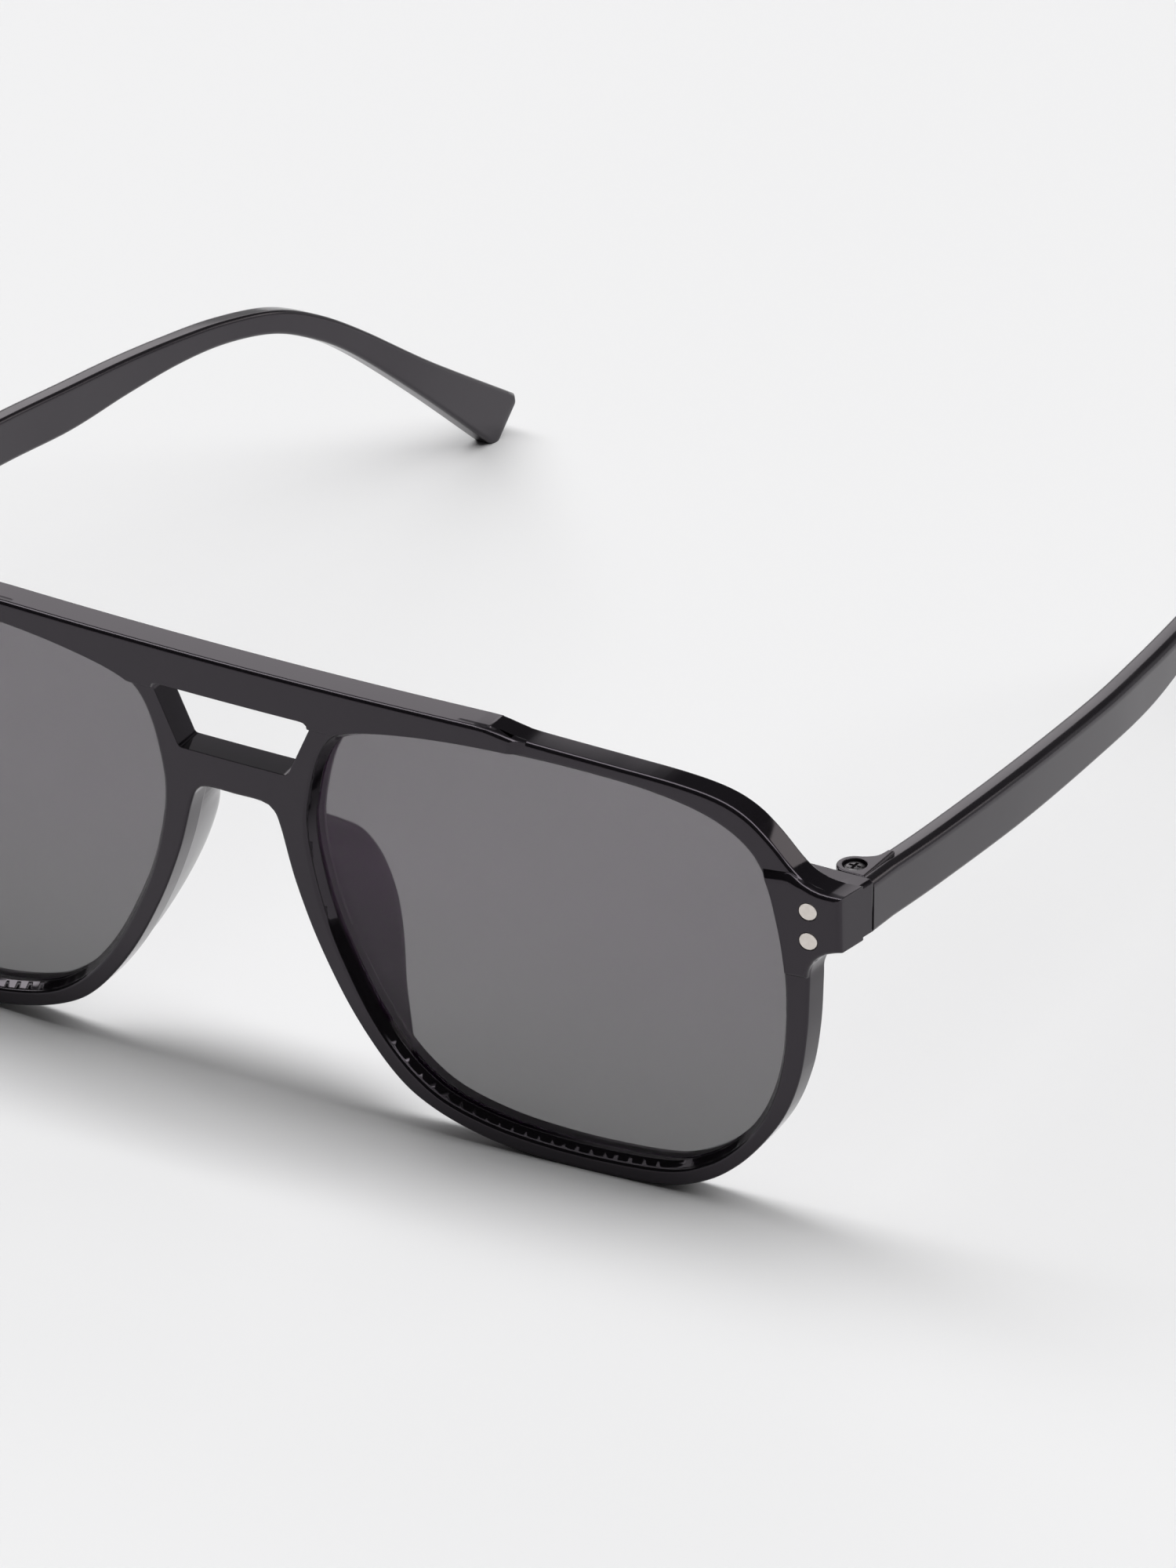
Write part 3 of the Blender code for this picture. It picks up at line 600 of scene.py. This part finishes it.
def metal(name, dark, light, gloss, haze, grain_scale, grain):
    """Bare metal: mottled colour, uneven gloss and a fine grain."""
    n = Nodes(name)
    colour = n.mix(n.noise(1800.0, 3.0), dark, light)
    roughness = n.ramp(n.noise(grain_scale, 3.0), gloss, haze)
    skin = n.bump(n.noise(grain_scale * 2, 2.0), grain * MM)
    return n.set(Base_Color=colour, Roughness=roughness, Normal=skin, Metallic=1.0)


# Front

def front_sections(outline, steps=5):
    """Sections of the front's body: broad rounding along the top, finer below, eased rear."""
    rolls = []
    for point in outline:
        share = clamped((point.y - ROLL_LOW) / (ROLL_HIGH - ROLL_LOW))
        rolls.append(FRONT_EASE + (FRONT_ROLL - FRONT_EASE) * share)
    sections = []
    for run, rise in quarter(steps):
        narrow = inset(outline, FRONT_EASE * run)
        broad = inset(outline, FRONT_ROLL * run)
        ring = []
        for a, b, roll in zip(narrow, broad, rolls):
            place = a.lerp(b, (roll - FRONT_EASE) / (FRONT_ROLL - FRONT_EASE))
            ring.append((place.x, roll * rise, place.y))
        sections.append(ring)
    for run, rise in reversed(quarter(steps)):
        sections.append([(p.x, FRONT_THICKNESS - REAR_EASE * rise, p.y)
                         for p in inset(outline, REAR_EASE * run)])
    return sections


def aperture_levels(outline):
    """The lens opening: rounded edge, drafted wall, lens seat and the lip behind it."""
    levels = [(inset(outline, -FRONT_EASE), -PLATE_RISE - CUT_MARGIN)]
    levels += [(inset(outline, WALL_ROLL * (1 - run) - FRONT_EASE), WALL_ROLL * rise)
               for run, rise in quarter(6)]
    levels += [
        (inset(outline, SEAT_DRAFT), SEAT_FRONT),
        (inset(outline, SEAT_DRAFT - SEAT_DEPTH), SEAT_FRONT + SEAT_STEP),
        (inset(outline, SEAT_DRAFT - SEAT_DEPTH), SEAT_BACK - SEAT_STEP),
        (inset(outline, SEAT_DRAFT), SEAT_BACK),
        (inset(outline, SEAT_DRAFT), FRONT_THICKNESS + CUT_MARGIN),
    ]
    return levels


def brow_height_at(across):
    """Height of the front's top edge."""
    run = smooth_run(FRONT_RUNS[0])
    for a, b in zip(run, run[1:]):
        if a.x <= across <= b.x:
            return a.y + (b.y - a.y) * (across - a.x) / (b.x - a.x)
    return run[-1].y


def brow_plate_levels(steps=10, columns=44):
    """Raised brow bar: round top edge, fine lower edge, and ends that ease down to the rims."""
    levels = []
    for step in range(steps + 1):
        rise = PLATE_RISE * (step / steps) ** PLATE_CROWDING
        roll = max(EDGE_RADIUS - rise, 0.0)
        top = EDGE_RADIUS - math.sqrt(EDGE_RADIUS ** 2 - roll ** 2)
        low = BROW_BOTTOM + max(PLATE_EDGE - rise, 0.0)
        ease = 0.5 - math.sin(math.asin(1 - 2 * rise / PLATE_RISE) / 3)
        half = PLATE_END - PLATE_RUN * (1 - ease)
        across = [half * (1 - 2 * column / columns) for column in range(columns + 1)]
        outline = [Vector((x, brow_height_at(abs(x)) - top)) for x in across]
        outline += [Vector((-half, low)), Vector((half, low))]
        levels.append((outline, -PLATE_RISE + rise))
    levels.append((levels[-1][0], PLATE_RISE))
    return levels


def lug_plate_levels(steps=6):
    """Raised plate of an end piece; its inner top edge slopes down towards the rim."""
    outline = joined_runs(LUG_PLATE_RUNS)
    levels = []
    for step, (run, rise) in enumerate(quarter(steps)):
        drop = LUG_PLATE_SLOPE * (1 - step / steps)
        face = [p - Vector((0, drop * clamped((LUG_SLOPE_END - p.x) / LUG_SLOPE_RUN)))
                if p.y > LUG_TOP else p for p in outline]
        levels.append((inset(face, EDGE_RADIUS * run), -PLATE_RISE + EDGE_RADIUS * rise))
    levels.append((outline, PLATE_RISE))
    return levels


def lug_block_levels():
    """Body of an end piece, from its plate back to the joint."""
    outline = [Vector(p) for p in (
        (LUG_BLOCK_INNER, LUG_TOP), (LUG_SIDE - LUG_CORNER, LUG_TOP),
        (LUG_SIDE, LUG_TOP - LUG_CORNER), (LUG_SIDE, LUG_BOTTOM + LUG_CORNER),
        (LUG_SIDE - LUG_CORNER, LUG_BOTTOM), (LUG_BLOCK_INNER + LUG_BLOCK_SLANT, LUG_BOTTOM))]
    return ((outline, EDGE_RADIUS), (outline, JOINT_Y))


def window_levels():
    """Bridge window: four rounded corners, a little wider in front than behind."""
    corners = ((-WINDOW_TOP_HALF, WINDOW_TOP), (-WINDOW_BOTTOM_HALF, WINDOW_BOTTOM),
               (WINDOW_BOTTOM_HALF, WINDOW_BOTTOM), (WINDOW_TOP_HALF, WINDOW_TOP))
    outline = []
    for index, corner in enumerate(corners):
        here = Vector(corner)
        radius = WINDOW_CORNERS[0] if here.y > BROW_BOTTOM else WINDOW_CORNERS[1]
        start = here + (Vector(corners[index - 1]) - here).normalized() * radius
        end = here + (Vector(corners[(index + 1) % 4]) - here).normalized() * radius
        for t in (0.0, 0.25, 0.5, 0.75, 1.0):
            outline.append(start * (1 - t) ** 2 + here * 2 * t * (1 - t) + end * t ** 2)
    wide = inset(outline, -WINDOW_DRAFT)
    return ((wide, -PLATE_RISE - CUT_MARGIN), (wide, 0.0), (outline, FRONT_THICKNESS),
            (outline, FRONT_THICKNESS + CUT_MARGIN))


def knuckle_span():
    """Lowest and highest level of the knuckle, between the two ears."""
    return EAR_BOTTOM + EAR_THICKNESS + HINGE_GAP, EAR_TOP - EAR_THICKNESS - HINGE_GAP


def barrel(name, side, radius, overlap, low, high, steps=24):
    """Half-round barrel on the hinge axis with a straight web forward past the joint."""
    outline = []
    for step in range(steps + 1):
        angle = math.pi * step / steps
        outline.append(Vector((radius * math.cos(angle), radius * math.sin(angle))))
    reach = JOINT_Y - AXIS_Y - overlap
    outline += [Vector((-radius, reach)), Vector((radius, reach))]
    return loft(name, [[(side * AXIS_X + p.x, AXIS_Y + p.y, height) for p in outline]
                       for height in (low, high)])


def rivet_hole(side, height, sides=40):
    ring = circle(RIVET_RADIUS + RIVET_CLEARANCE, sides)
    ends = (-PLATE_RISE - CUT_MARGIN, -PLATE_RISE + RIVET_DEPTH + RIVET_CLEARANCE)
    return loft("rivet_hole", [[(side * RIVET_X + x, depth, height + y) for x, y in ring]
                               for depth in ends])


def make_front():
    """Front in its flat plane, then bent, leaned forward and cut for its joints."""
    front = loft("front", front_sections(front_outline()))
    additions = [loft("brow_plate", plate_sections(brow_plate_levels()))]
    for side in (1, -1):
        for levels in (lug_plate_levels(), lug_block_levels()):
            if side < 0:
                levels = [(mirrored(shape), depth) for shape, depth in levels]
            additions.append(loft("lug", plate_sections(levels)))
    combine(front, additions, "UNION")
    aperture = smooth_run(APERTURE, closed=True)
    cutters = [loft("aperture", plate_sections(aperture_levels(shape)))
               for shape in (aperture, mirrored(aperture))]
    cutters.append(loft("window", plate_sections(window_levels())))
    cutters += [rivet_hole(side, height) for side in (1, -1) for height in RIVET_HEIGHTS]
    combine(front, cutters, "DIFFERENCE")
    slice_across(front, BEND_STEP, LUG_SIDE)
    wrap_object(front)
    cutters = [block("resting_flat", *FRONT_FLAT)]
    for side in (1, -1):
        ends = sorted(side * corner[0] for corner in JOINT_CUT)
        cutters.append(block("joint_face", *((x, *corner[1:]) for x, corner in zip(ends, JOINT_CUT))))
    combine(front, cutters, "DIFFERENCE")
    low, high = knuckle_span()
    combine(front, [barrel("knuckle", side, KNUCKLE_RADIUS, WEB_OVERLAP, low, high)
                    for side in (1, -1)], "UNION")
    holes = [cylinder("pin_hole", SCREW_HOLE_RADIUS, EAR_BOTTOM, EAR_TOP, (side * AXIS_X, AXIS_Y))
             for side in (1, -1)]
    return combine(front, holes, "DIFFERENCE")


def make_rivet(name, side, height):
    """Pin with a barely domed face and a fine turned edge, square to the end piece."""
    profile = [(0.0, RIVET_DEPTH), (RIVET_RADIUS - RIVET_EDGE, RIVET_DEPTH),
               (RIVET_RADIUS, RIVET_DEPTH - RIVET_EDGE)]
    profile += [(RIVET_RADIUS - RIVET_EDGE * run, RIVET_DOME - RIVET_PROUD + RIVET_EDGE * rise)
                for run, rise in reversed(quarter(3))]
    profile += [(RIVET_RADIUS * share, RIVET_DOME * share ** 2 - RIVET_PROUD)
                for share in (0.85, 0.6, 0.3)]
    profile.append((0.0, -RIVET_PROUD))
    obj = lathe(name, profile, (0.0, 0.0))
    for vertex in obj.data.vertices:
        x, y, depth = vertex.co
        vertex.co = wrapped((side * RIVET_X + x, depth - PLATE_RISE, height + y))
    fix_normals(obj)
    return obj


def fix_normals(obj):
    """Turn the faces of a closed mesh outwards."""
    mesh = bmesh.new()
    mesh.from_mesh(obj.data)
    bmesh.ops.recalc_face_normals(mesh, faces=mesh.faces)
    mesh.to_mesh(obj.data)
    mesh.free()


def make_lens():
    """Smoke lens with a fine bevel round its edge."""
    outline = inset(smooth_run(APERTURE, closed=True), SEAT_DRAFT - SEAT_DEPTH + LENS_GAP)
    front, back = SEAT_FRONT + LENS_GAP, SEAT_BACK - LENS_GAP
    levels = ((inset(outline, LENS_EDGE), front), (outline, front + LENS_EDGE),
              (outline, back - LENS_EDGE), (inset(outline, LENS_EDGE), back))
    lens = loft("lens", plate_sections(levels))
    slice_across(lens, BEND_STEP, LUG_SIDE)
    wrap_object(lens)
    return lens


def rim_edge_at(height):
    """Half-width of the rim's nose edge at a height."""
    below = [p for p in smooth_run(FRONT_RUNS[-1], 6) if p.x < 30]
    nearest = sorted(below, key=lambda p: abs(p.y - height))[:2]
    a, b = sorted(nearest, key=lambda p: p.y)
    blend = 0.0 if b.y == a.y else (height - a.y) / (b.y - a.y)
    return a.x + (b.x - a.x) * clamped(blend)


def make_nose_pad():
    """Fin behind the rim beside the nose, opening towards the wearer, with a rolled edge."""
    sections = []
    for height, reach, opening, thick in smooth_stations(PAD_STATIONS, 6):
        edge = rim_edge_at(height) + REAR_EASE
        start = FRONT_THICKNESS + PAD_GAP
        profile = [(edge + opening * across + thick * depth, start + reach * back)
                   for across, depth, back in PAD_PROFILE]
        curve = smooth_run(profile, 4)
        sections.append([wrapped((p.x, p.y, height)) for p in curve])
    return loft("nose_pad", sections)


# Temples and hinges

def temple_section(station, steps=6):
    """Rounded bar section, with a broad easing along its upper outer edge."""
    back, outer, middle, height, pitch = station
    inner = outer - TEMPLE_THICKNESS
    half = height / 2
    big, small = (min(most, half * share) for most, share in (TEMPLE_TOP_ROUND, TEMPLE_ROUND))
    shape = []
    corners = ((outer, half, big, 0), (inner, half, small, 90), (inner, -half, small, 180),
               (outer, -half, small, 270))
    for x, z, radius, start in corners:
        centre_x = x - math.copysign(radius, x - (outer + inner) / 2)
        centre_z = z - math.copysign(radius, z)
        for step in range(steps + 1):
            angle = math.radians(start + 90 * step / steps)
            shape.append((centre_x + radius * math.cos(angle), centre_z + radius * math.sin(angle)))
    lean = math.radians(pitch)
    return [(x, back + z * math.sin(lean), middle + z * math.cos(lean)) for x, z in shape]


def temple_end_cap(station, steps=5):
    """Rounded end of the temple tip."""
    back, outer, middle, height, pitch = station
    lean = math.radians(pitch)
    caps = []
    for step in range(1, steps + 1):
        angle = math.pi / 2 * step / steps
        along = CAP_LENGTH * math.sin(angle)
        shrink = CAP_SHRINK * (1 - math.cos(angle)) ** CAP_FULLNESS
        ring = temple_section((back + along * math.cos(lean), outer - CAP_DRIFT * math.sin(angle),
                               middle - along * math.sin(lean), height, pitch))
        centre = sum((Vector(p) for p in ring), Vector()) / len(ring)
        caps.append([centre + (Vector(p) - centre) * (1 - shrink) for p in ring])
    return caps


def ear_outline(steps=20):
    """Plan of a hinge ear: round nose on the axis, running back into the temple."""
    start, sweep = EAR_ARC
    outline = []
    for step in range(steps + 1):
        angle = math.radians(start - sweep * step / steps)
        outline.append((AXIS_X + KNUCKLE_RADIUS * math.cos(angle),
                        AXIS_Y + KNUCKLE_RADIUS * math.sin(angle)))
    outline += [tuple(p) for p in smooth_run(EAR_BACK, 4)[1:]]
    return outline + [(EAR_OUTER, EAR_BACK[-1][1]), (EAR_OUTER, JOINT_Y + JOINT_GAP + EAR_SETBACK)]


def make_temple():
    """Temple with its two hinge ears, and room for the knuckle, screw and insert."""
    joint = JOINT_Y + JOINT_GAP
    sections = [[(x, max(y, joint), z) for x, y, z in temple_section((joint, *TEMPLE_START))]]
    sections += [temple_section(station) for station in smooth_stations(TEMPLE_STATIONS, 8)]
    sections += temple_end_cap(TEMPLE_STATIONS[-1])
    temple = loft("temple", sections)
    upper = [(EAR_TOP - EAR_THICKNESS, 0.0)]
    upper += [(EAR_TOP - EAR_ROUND * rise, -EAR_ROUND * run)
              for run, rise in reversed(quarter(4))]
    lower = ((EAR_BOTTOM, 0.0), (EAR_BOTTOM + EAR_THICKNESS, 0.0))
    outline = [Vector(p) for p in ear_outline()]
    additions = [loft("ear", [[(p.x, p.y, height) for p in inset(outline, -shift)]
                              for height, shift in levels]) for levels in (upper, lower)]
    combine(temple, additions, "UNION")
    low, high = knuckle_span()
    holes = [
        barrel("barrel_room", 1, KNUCKLE_RADIUS + HINGE_GAP, CUT_MARGIN, low - HINGE_GAP,
               high + HINGE_GAP),
        cylinder("pin_room", SCREW_HOLE_RADIUS, EAR_BOTTOM - CUT_MARGIN, EAR_TOP + CUT_MARGIN),
        cylinder("head_room", HEAD_RECESS_RADIUS, EAR_TOP - HEAD_SINK - HEAD_HEIGHT - FLOOR_GAP,
                 EAR_TOP + CUT_MARGIN),
        cylinder("insert_room", INSERT_RADIUS + INSERT_GAP, EAR_BOTTOM - CUT_MARGIN,
                 EAR_BOTTOM + INSERT_HEIGHT + FLOOR_GAP),
        block("resting_flat", *TEMPLE_FLAT),
    ]
    return combine(temple, holes, "DIFFERENCE")


def make_screw():
    """Cross-head screw that is the hinge pin: crowned head, tapered cross, turned shank.

    The head's edge steps in before it rounds, which leaves a lip finer than 0.1 mm round it.
    """
    foot, top = EAR_BOTTOM + FLOOR_GAP, EAR_TOP - HEAD_SINK
    profile = [(0, foot), (SCREW_RADIUS - SHANK_EASE, foot),
               (SCREW_RADIUS, EAR_BOTTOM + 2 * FLOOR_GAP), (SCREW_RADIUS, top - HEAD_HEIGHT),
               (HEAD_RADIUS - HEAD_EASE, top - HEAD_HEIGHT),
               (HEAD_RADIUS, top - HEAD_HEIGHT + HEAD_EASE)]
    profile += [(HEAD_RADIUS - HEAD_CROWN * inward, top - HEAD_EASE - HEAD_CROWN * drop)
                for drop, inward in reversed(quarter(4))]
    profile += [(HEAD_RADIUS * share, top - HEAD_EASE * share ** 2) for share in (0.8, 0.5, 0.25)]
    profile.append((0, top))
    screw = lathe("screw", profile, (AXIS_X, AXIS_Y))
    slots = []
    for turn in (0, 1):
        sections = []
        for height, arm, width in SLOT_LEVELS:
            corners = ((-arm, -width), (arm, -width), (arm, width), (-arm, width))
            if turn:
                corners = [(-y, x) for x, y in corners]
            sections.append([(AXIS_X + x, AXIS_Y + y, top + height) for x, y in corners])
        slots.append(loft("slot", sections))
    return combine(screw, slots, "DIFFERENCE")


def make_insert():
    """Brass bush round the foot of the screw."""
    bore = SCREW_RADIUS + INSERT_GAP
    mouth = bore + INSERT_EASE
    low, high = EAR_BOTTOM + FLOOR_GAP / 2, EAR_BOTTOM + INSERT_HEIGHT
    insert = lathe("insert", ((0, low), (mouth, low), (INSERT_RADIUS - INSERT_EASE, low),
                              (INSERT_RADIUS, low + INSERT_EASE), (INSERT_RADIUS, high),
                              (0, high)), (AXIS_X, AXIS_Y))
    cutter = lathe("bore", ((0, low - CUT_MARGIN), (mouth, low - CUT_MARGIN),
                            (mouth, low - BORE_STEP), (bore, low + INSERT_EASE),
                            (bore, high + CUT_MARGIN), (0, high + CUT_MARGIN)), (AXIS_X, AXIS_Y))
    return combine(insert, [cutter], "DIFFERENCE")


# Build the pieces

black = plastic("black_plastic", dark=(0.006, 0.0052, 0.0065), light=(0.009, 0.0078, 0.0095),
                gloss=0.03, haze=0.07, wave=0.004, grain=0.0001)
satin = plastic("temple_plastic", dark=(0.010, 0.009, 0.0105), light=(0.015, 0.0135, 0.0155),
                gloss=0.10, haze=0.18, wave=0.004, grain=0.0003)
pad_black = plastic("pad_plastic", dark=(0.010, 0.0095, 0.011), light=(0.014, 0.013, 0.015),
                    gloss=0.10, haze=0.18, wave=0.006, grain=0.0002)
smoke = smoke_glass("smoke_lens")
silver = metal("rivet_metal", dark=(0.66, 0.61, 0.57), light=(0.78, 0.73, 0.68),
               gloss=0.30, haze=0.45, grain_scale=3000.0, grain=0.0012)
steel = metal("screw_steel", dark=(0.10, 0.097, 0.10), light=(0.16, 0.155, 0.16),
              gloss=0.22, haze=0.40, grain_scale=2600.0, grain=0.001)
brass = metal("insert_brass", dark=(0.52, 0.38, 0.16), light=(0.68, 0.52, 0.26),
              gloss=0.25, haze=0.45, grain_scale=2600.0, grain=0.001)

finish_piece(make_front(), "front_frame", "front", black)
for side, label in ((1, "left"), (-1, "right")):
    for height, level in zip(RIVET_HEIGHTS, ("upper", "lower")):
        node = f"rivet_{label}_{level}"
        finish_piece(make_rivet(f"{node}_head", side, height), node, "front", silver)

for maker, node, body, slot, material in (
        (make_lens, "lens", "front", "lens_smoke", smoke),
        (make_nose_pad, "nose_pad", "front", "pad_plastic", pad_black),
        (make_temple, "temple", None, "temple_plastic", satin),
        (make_screw, "hinge_screw", None, "screw_steel", steel),
        (make_insert, "hinge_insert", None, "insert_brass", brass)):
    left = maker()
    left.name = f"{node}_left_look"
    right = mirror_copy(left, f"{node}_right_look")
    for obj, label in ((left, "left"), (right, "right")):
        finish_piece(obj, f"{node}_{label}", body or f"{label}_arm", material)


# Floor, light and camera

def make_floor():
    mesh = bmesh.new()
    bmesh.ops.create_grid(mesh, x_segments=1, y_segments=1, size=FLOOR_REACH)
    floor = new_object("studio_floor", mesh)
    n = Nodes("studio_paper")
    colour = n.mix(n.noise(3.0, 2.0), (0.80, 0.80, 0.805), (0.815, 0.815, 0.82))
    floor.data.materials.append(n.set(Base_Color=colour, Roughness=0.9, Specular_IOR_Level=0.1))


def sky_patch(tree, ray, direction, long_side, widths):
    """Share of a soft-edged rectangle in the surround, centred on a direction."""
    def math_share(operation, first, second=None):
        node = add_node(tree, "ShaderNodeMath", operation=operation)
        tree.links.new(first, node.inputs[0])
        if isinstance(second, bpy.types.NodeSocket):
            tree.links.new(second, node.inputs[1])
        elif second is not None:
            node.inputs[1].default_value = second
        return node.outputs[0]

    def along(vector):
        node = add_node(tree, "ShaderNodeVectorMath", operation="DOT_PRODUCT")
        node.inputs[1].default_value = vector
        tree.links.new(ray, node.inputs[0])
        return node.outputs["Value"]

    axis = Vector(direction).normalized()
    first = Vector(long_side).normalized()
    first = (first - axis * first.dot(axis)).normalized()
    total = math_share("GREATER_THAN", along(axis), PATCH_FACING)
    for vector, (half, soft) in zip((first, axis.cross(first)), widths):
        edge = add_node(tree, "ShaderNodeMapRange", interpolation_type="SMOOTHSTEP")
        map_range(edge, half + soft, half, 0.0, 1.0)
        tree.links.new(math_share("ABSOLUTE", along(vector)), edge.inputs["Value"])
        total = math_share("MULTIPLY", total, edge.outputs["Result"])
    return total


def make_studio():
    """Grey surround with a bright back wall, a window, an overhead strip and dark cards."""
    world = bpy.data.worlds.new("studio")
    bpy.context.scene.world = world
    world.use_nodes = True
    tree = world.node_tree
    ray = add_node(tree, "ShaderNodeTexCoord").outputs["Generated"]
    colour = None
    for direction, long_side, widths, radiance in PATCHES:
        mix = add_node(tree, "ShaderNodeMix", data_type="RGBA")
        tree.links.new(sky_patch(tree, ray, direction, long_side, widths), mix.inputs["Factor"])
        if colour is None:
            mix.inputs["A"].default_value = (*SURROUND, 1.0)
        else:
            tree.links.new(colour, mix.inputs["A"])
        mix.inputs["B"].default_value = (*radiance, 1.0)
        colour = mix.outputs["Result"]
    background = tree.nodes["Background"]
    tree.links.new(colour, background.inputs["Color"])
    background.inputs["Strength"].default_value = 1.0


def make_camera():
    """Long lens from the front left, above the pair."""
    azimuth, elevation = CAMERA_ANGLES
    target = (Vector(CAMERA_TARGET) + PLACE) * MM
    forward = Vector((-math.sin(azimuth) * math.cos(elevation),
                      math.cos(azimuth) * math.cos(elevation), -math.sin(elevation)))
    right = Vector((math.cos(azimuth), math.sin(azimuth), 0.0))
    up = right.cross(forward)
    data = bpy.data.cameras.new("camera")
    data.sensor_width = SENSOR_MM
    data.lens = LENS_MM
    data.clip_start = 0.05
    camera = bpy.data.objects.new("camera", data)
    bpy.context.scene.collection.objects.link(camera)
    turn = Matrix((right, up, -forward)).transposed().to_4x4()
    camera.matrix_world = Matrix.Translation(target - forward * CAMERA_DISTANCE) @ turn
    bpy.context.scene.camera = camera


make_floor()
make_studio()
make_camera()
bpy.context.scene.view_settings.view_transform = "Standard"
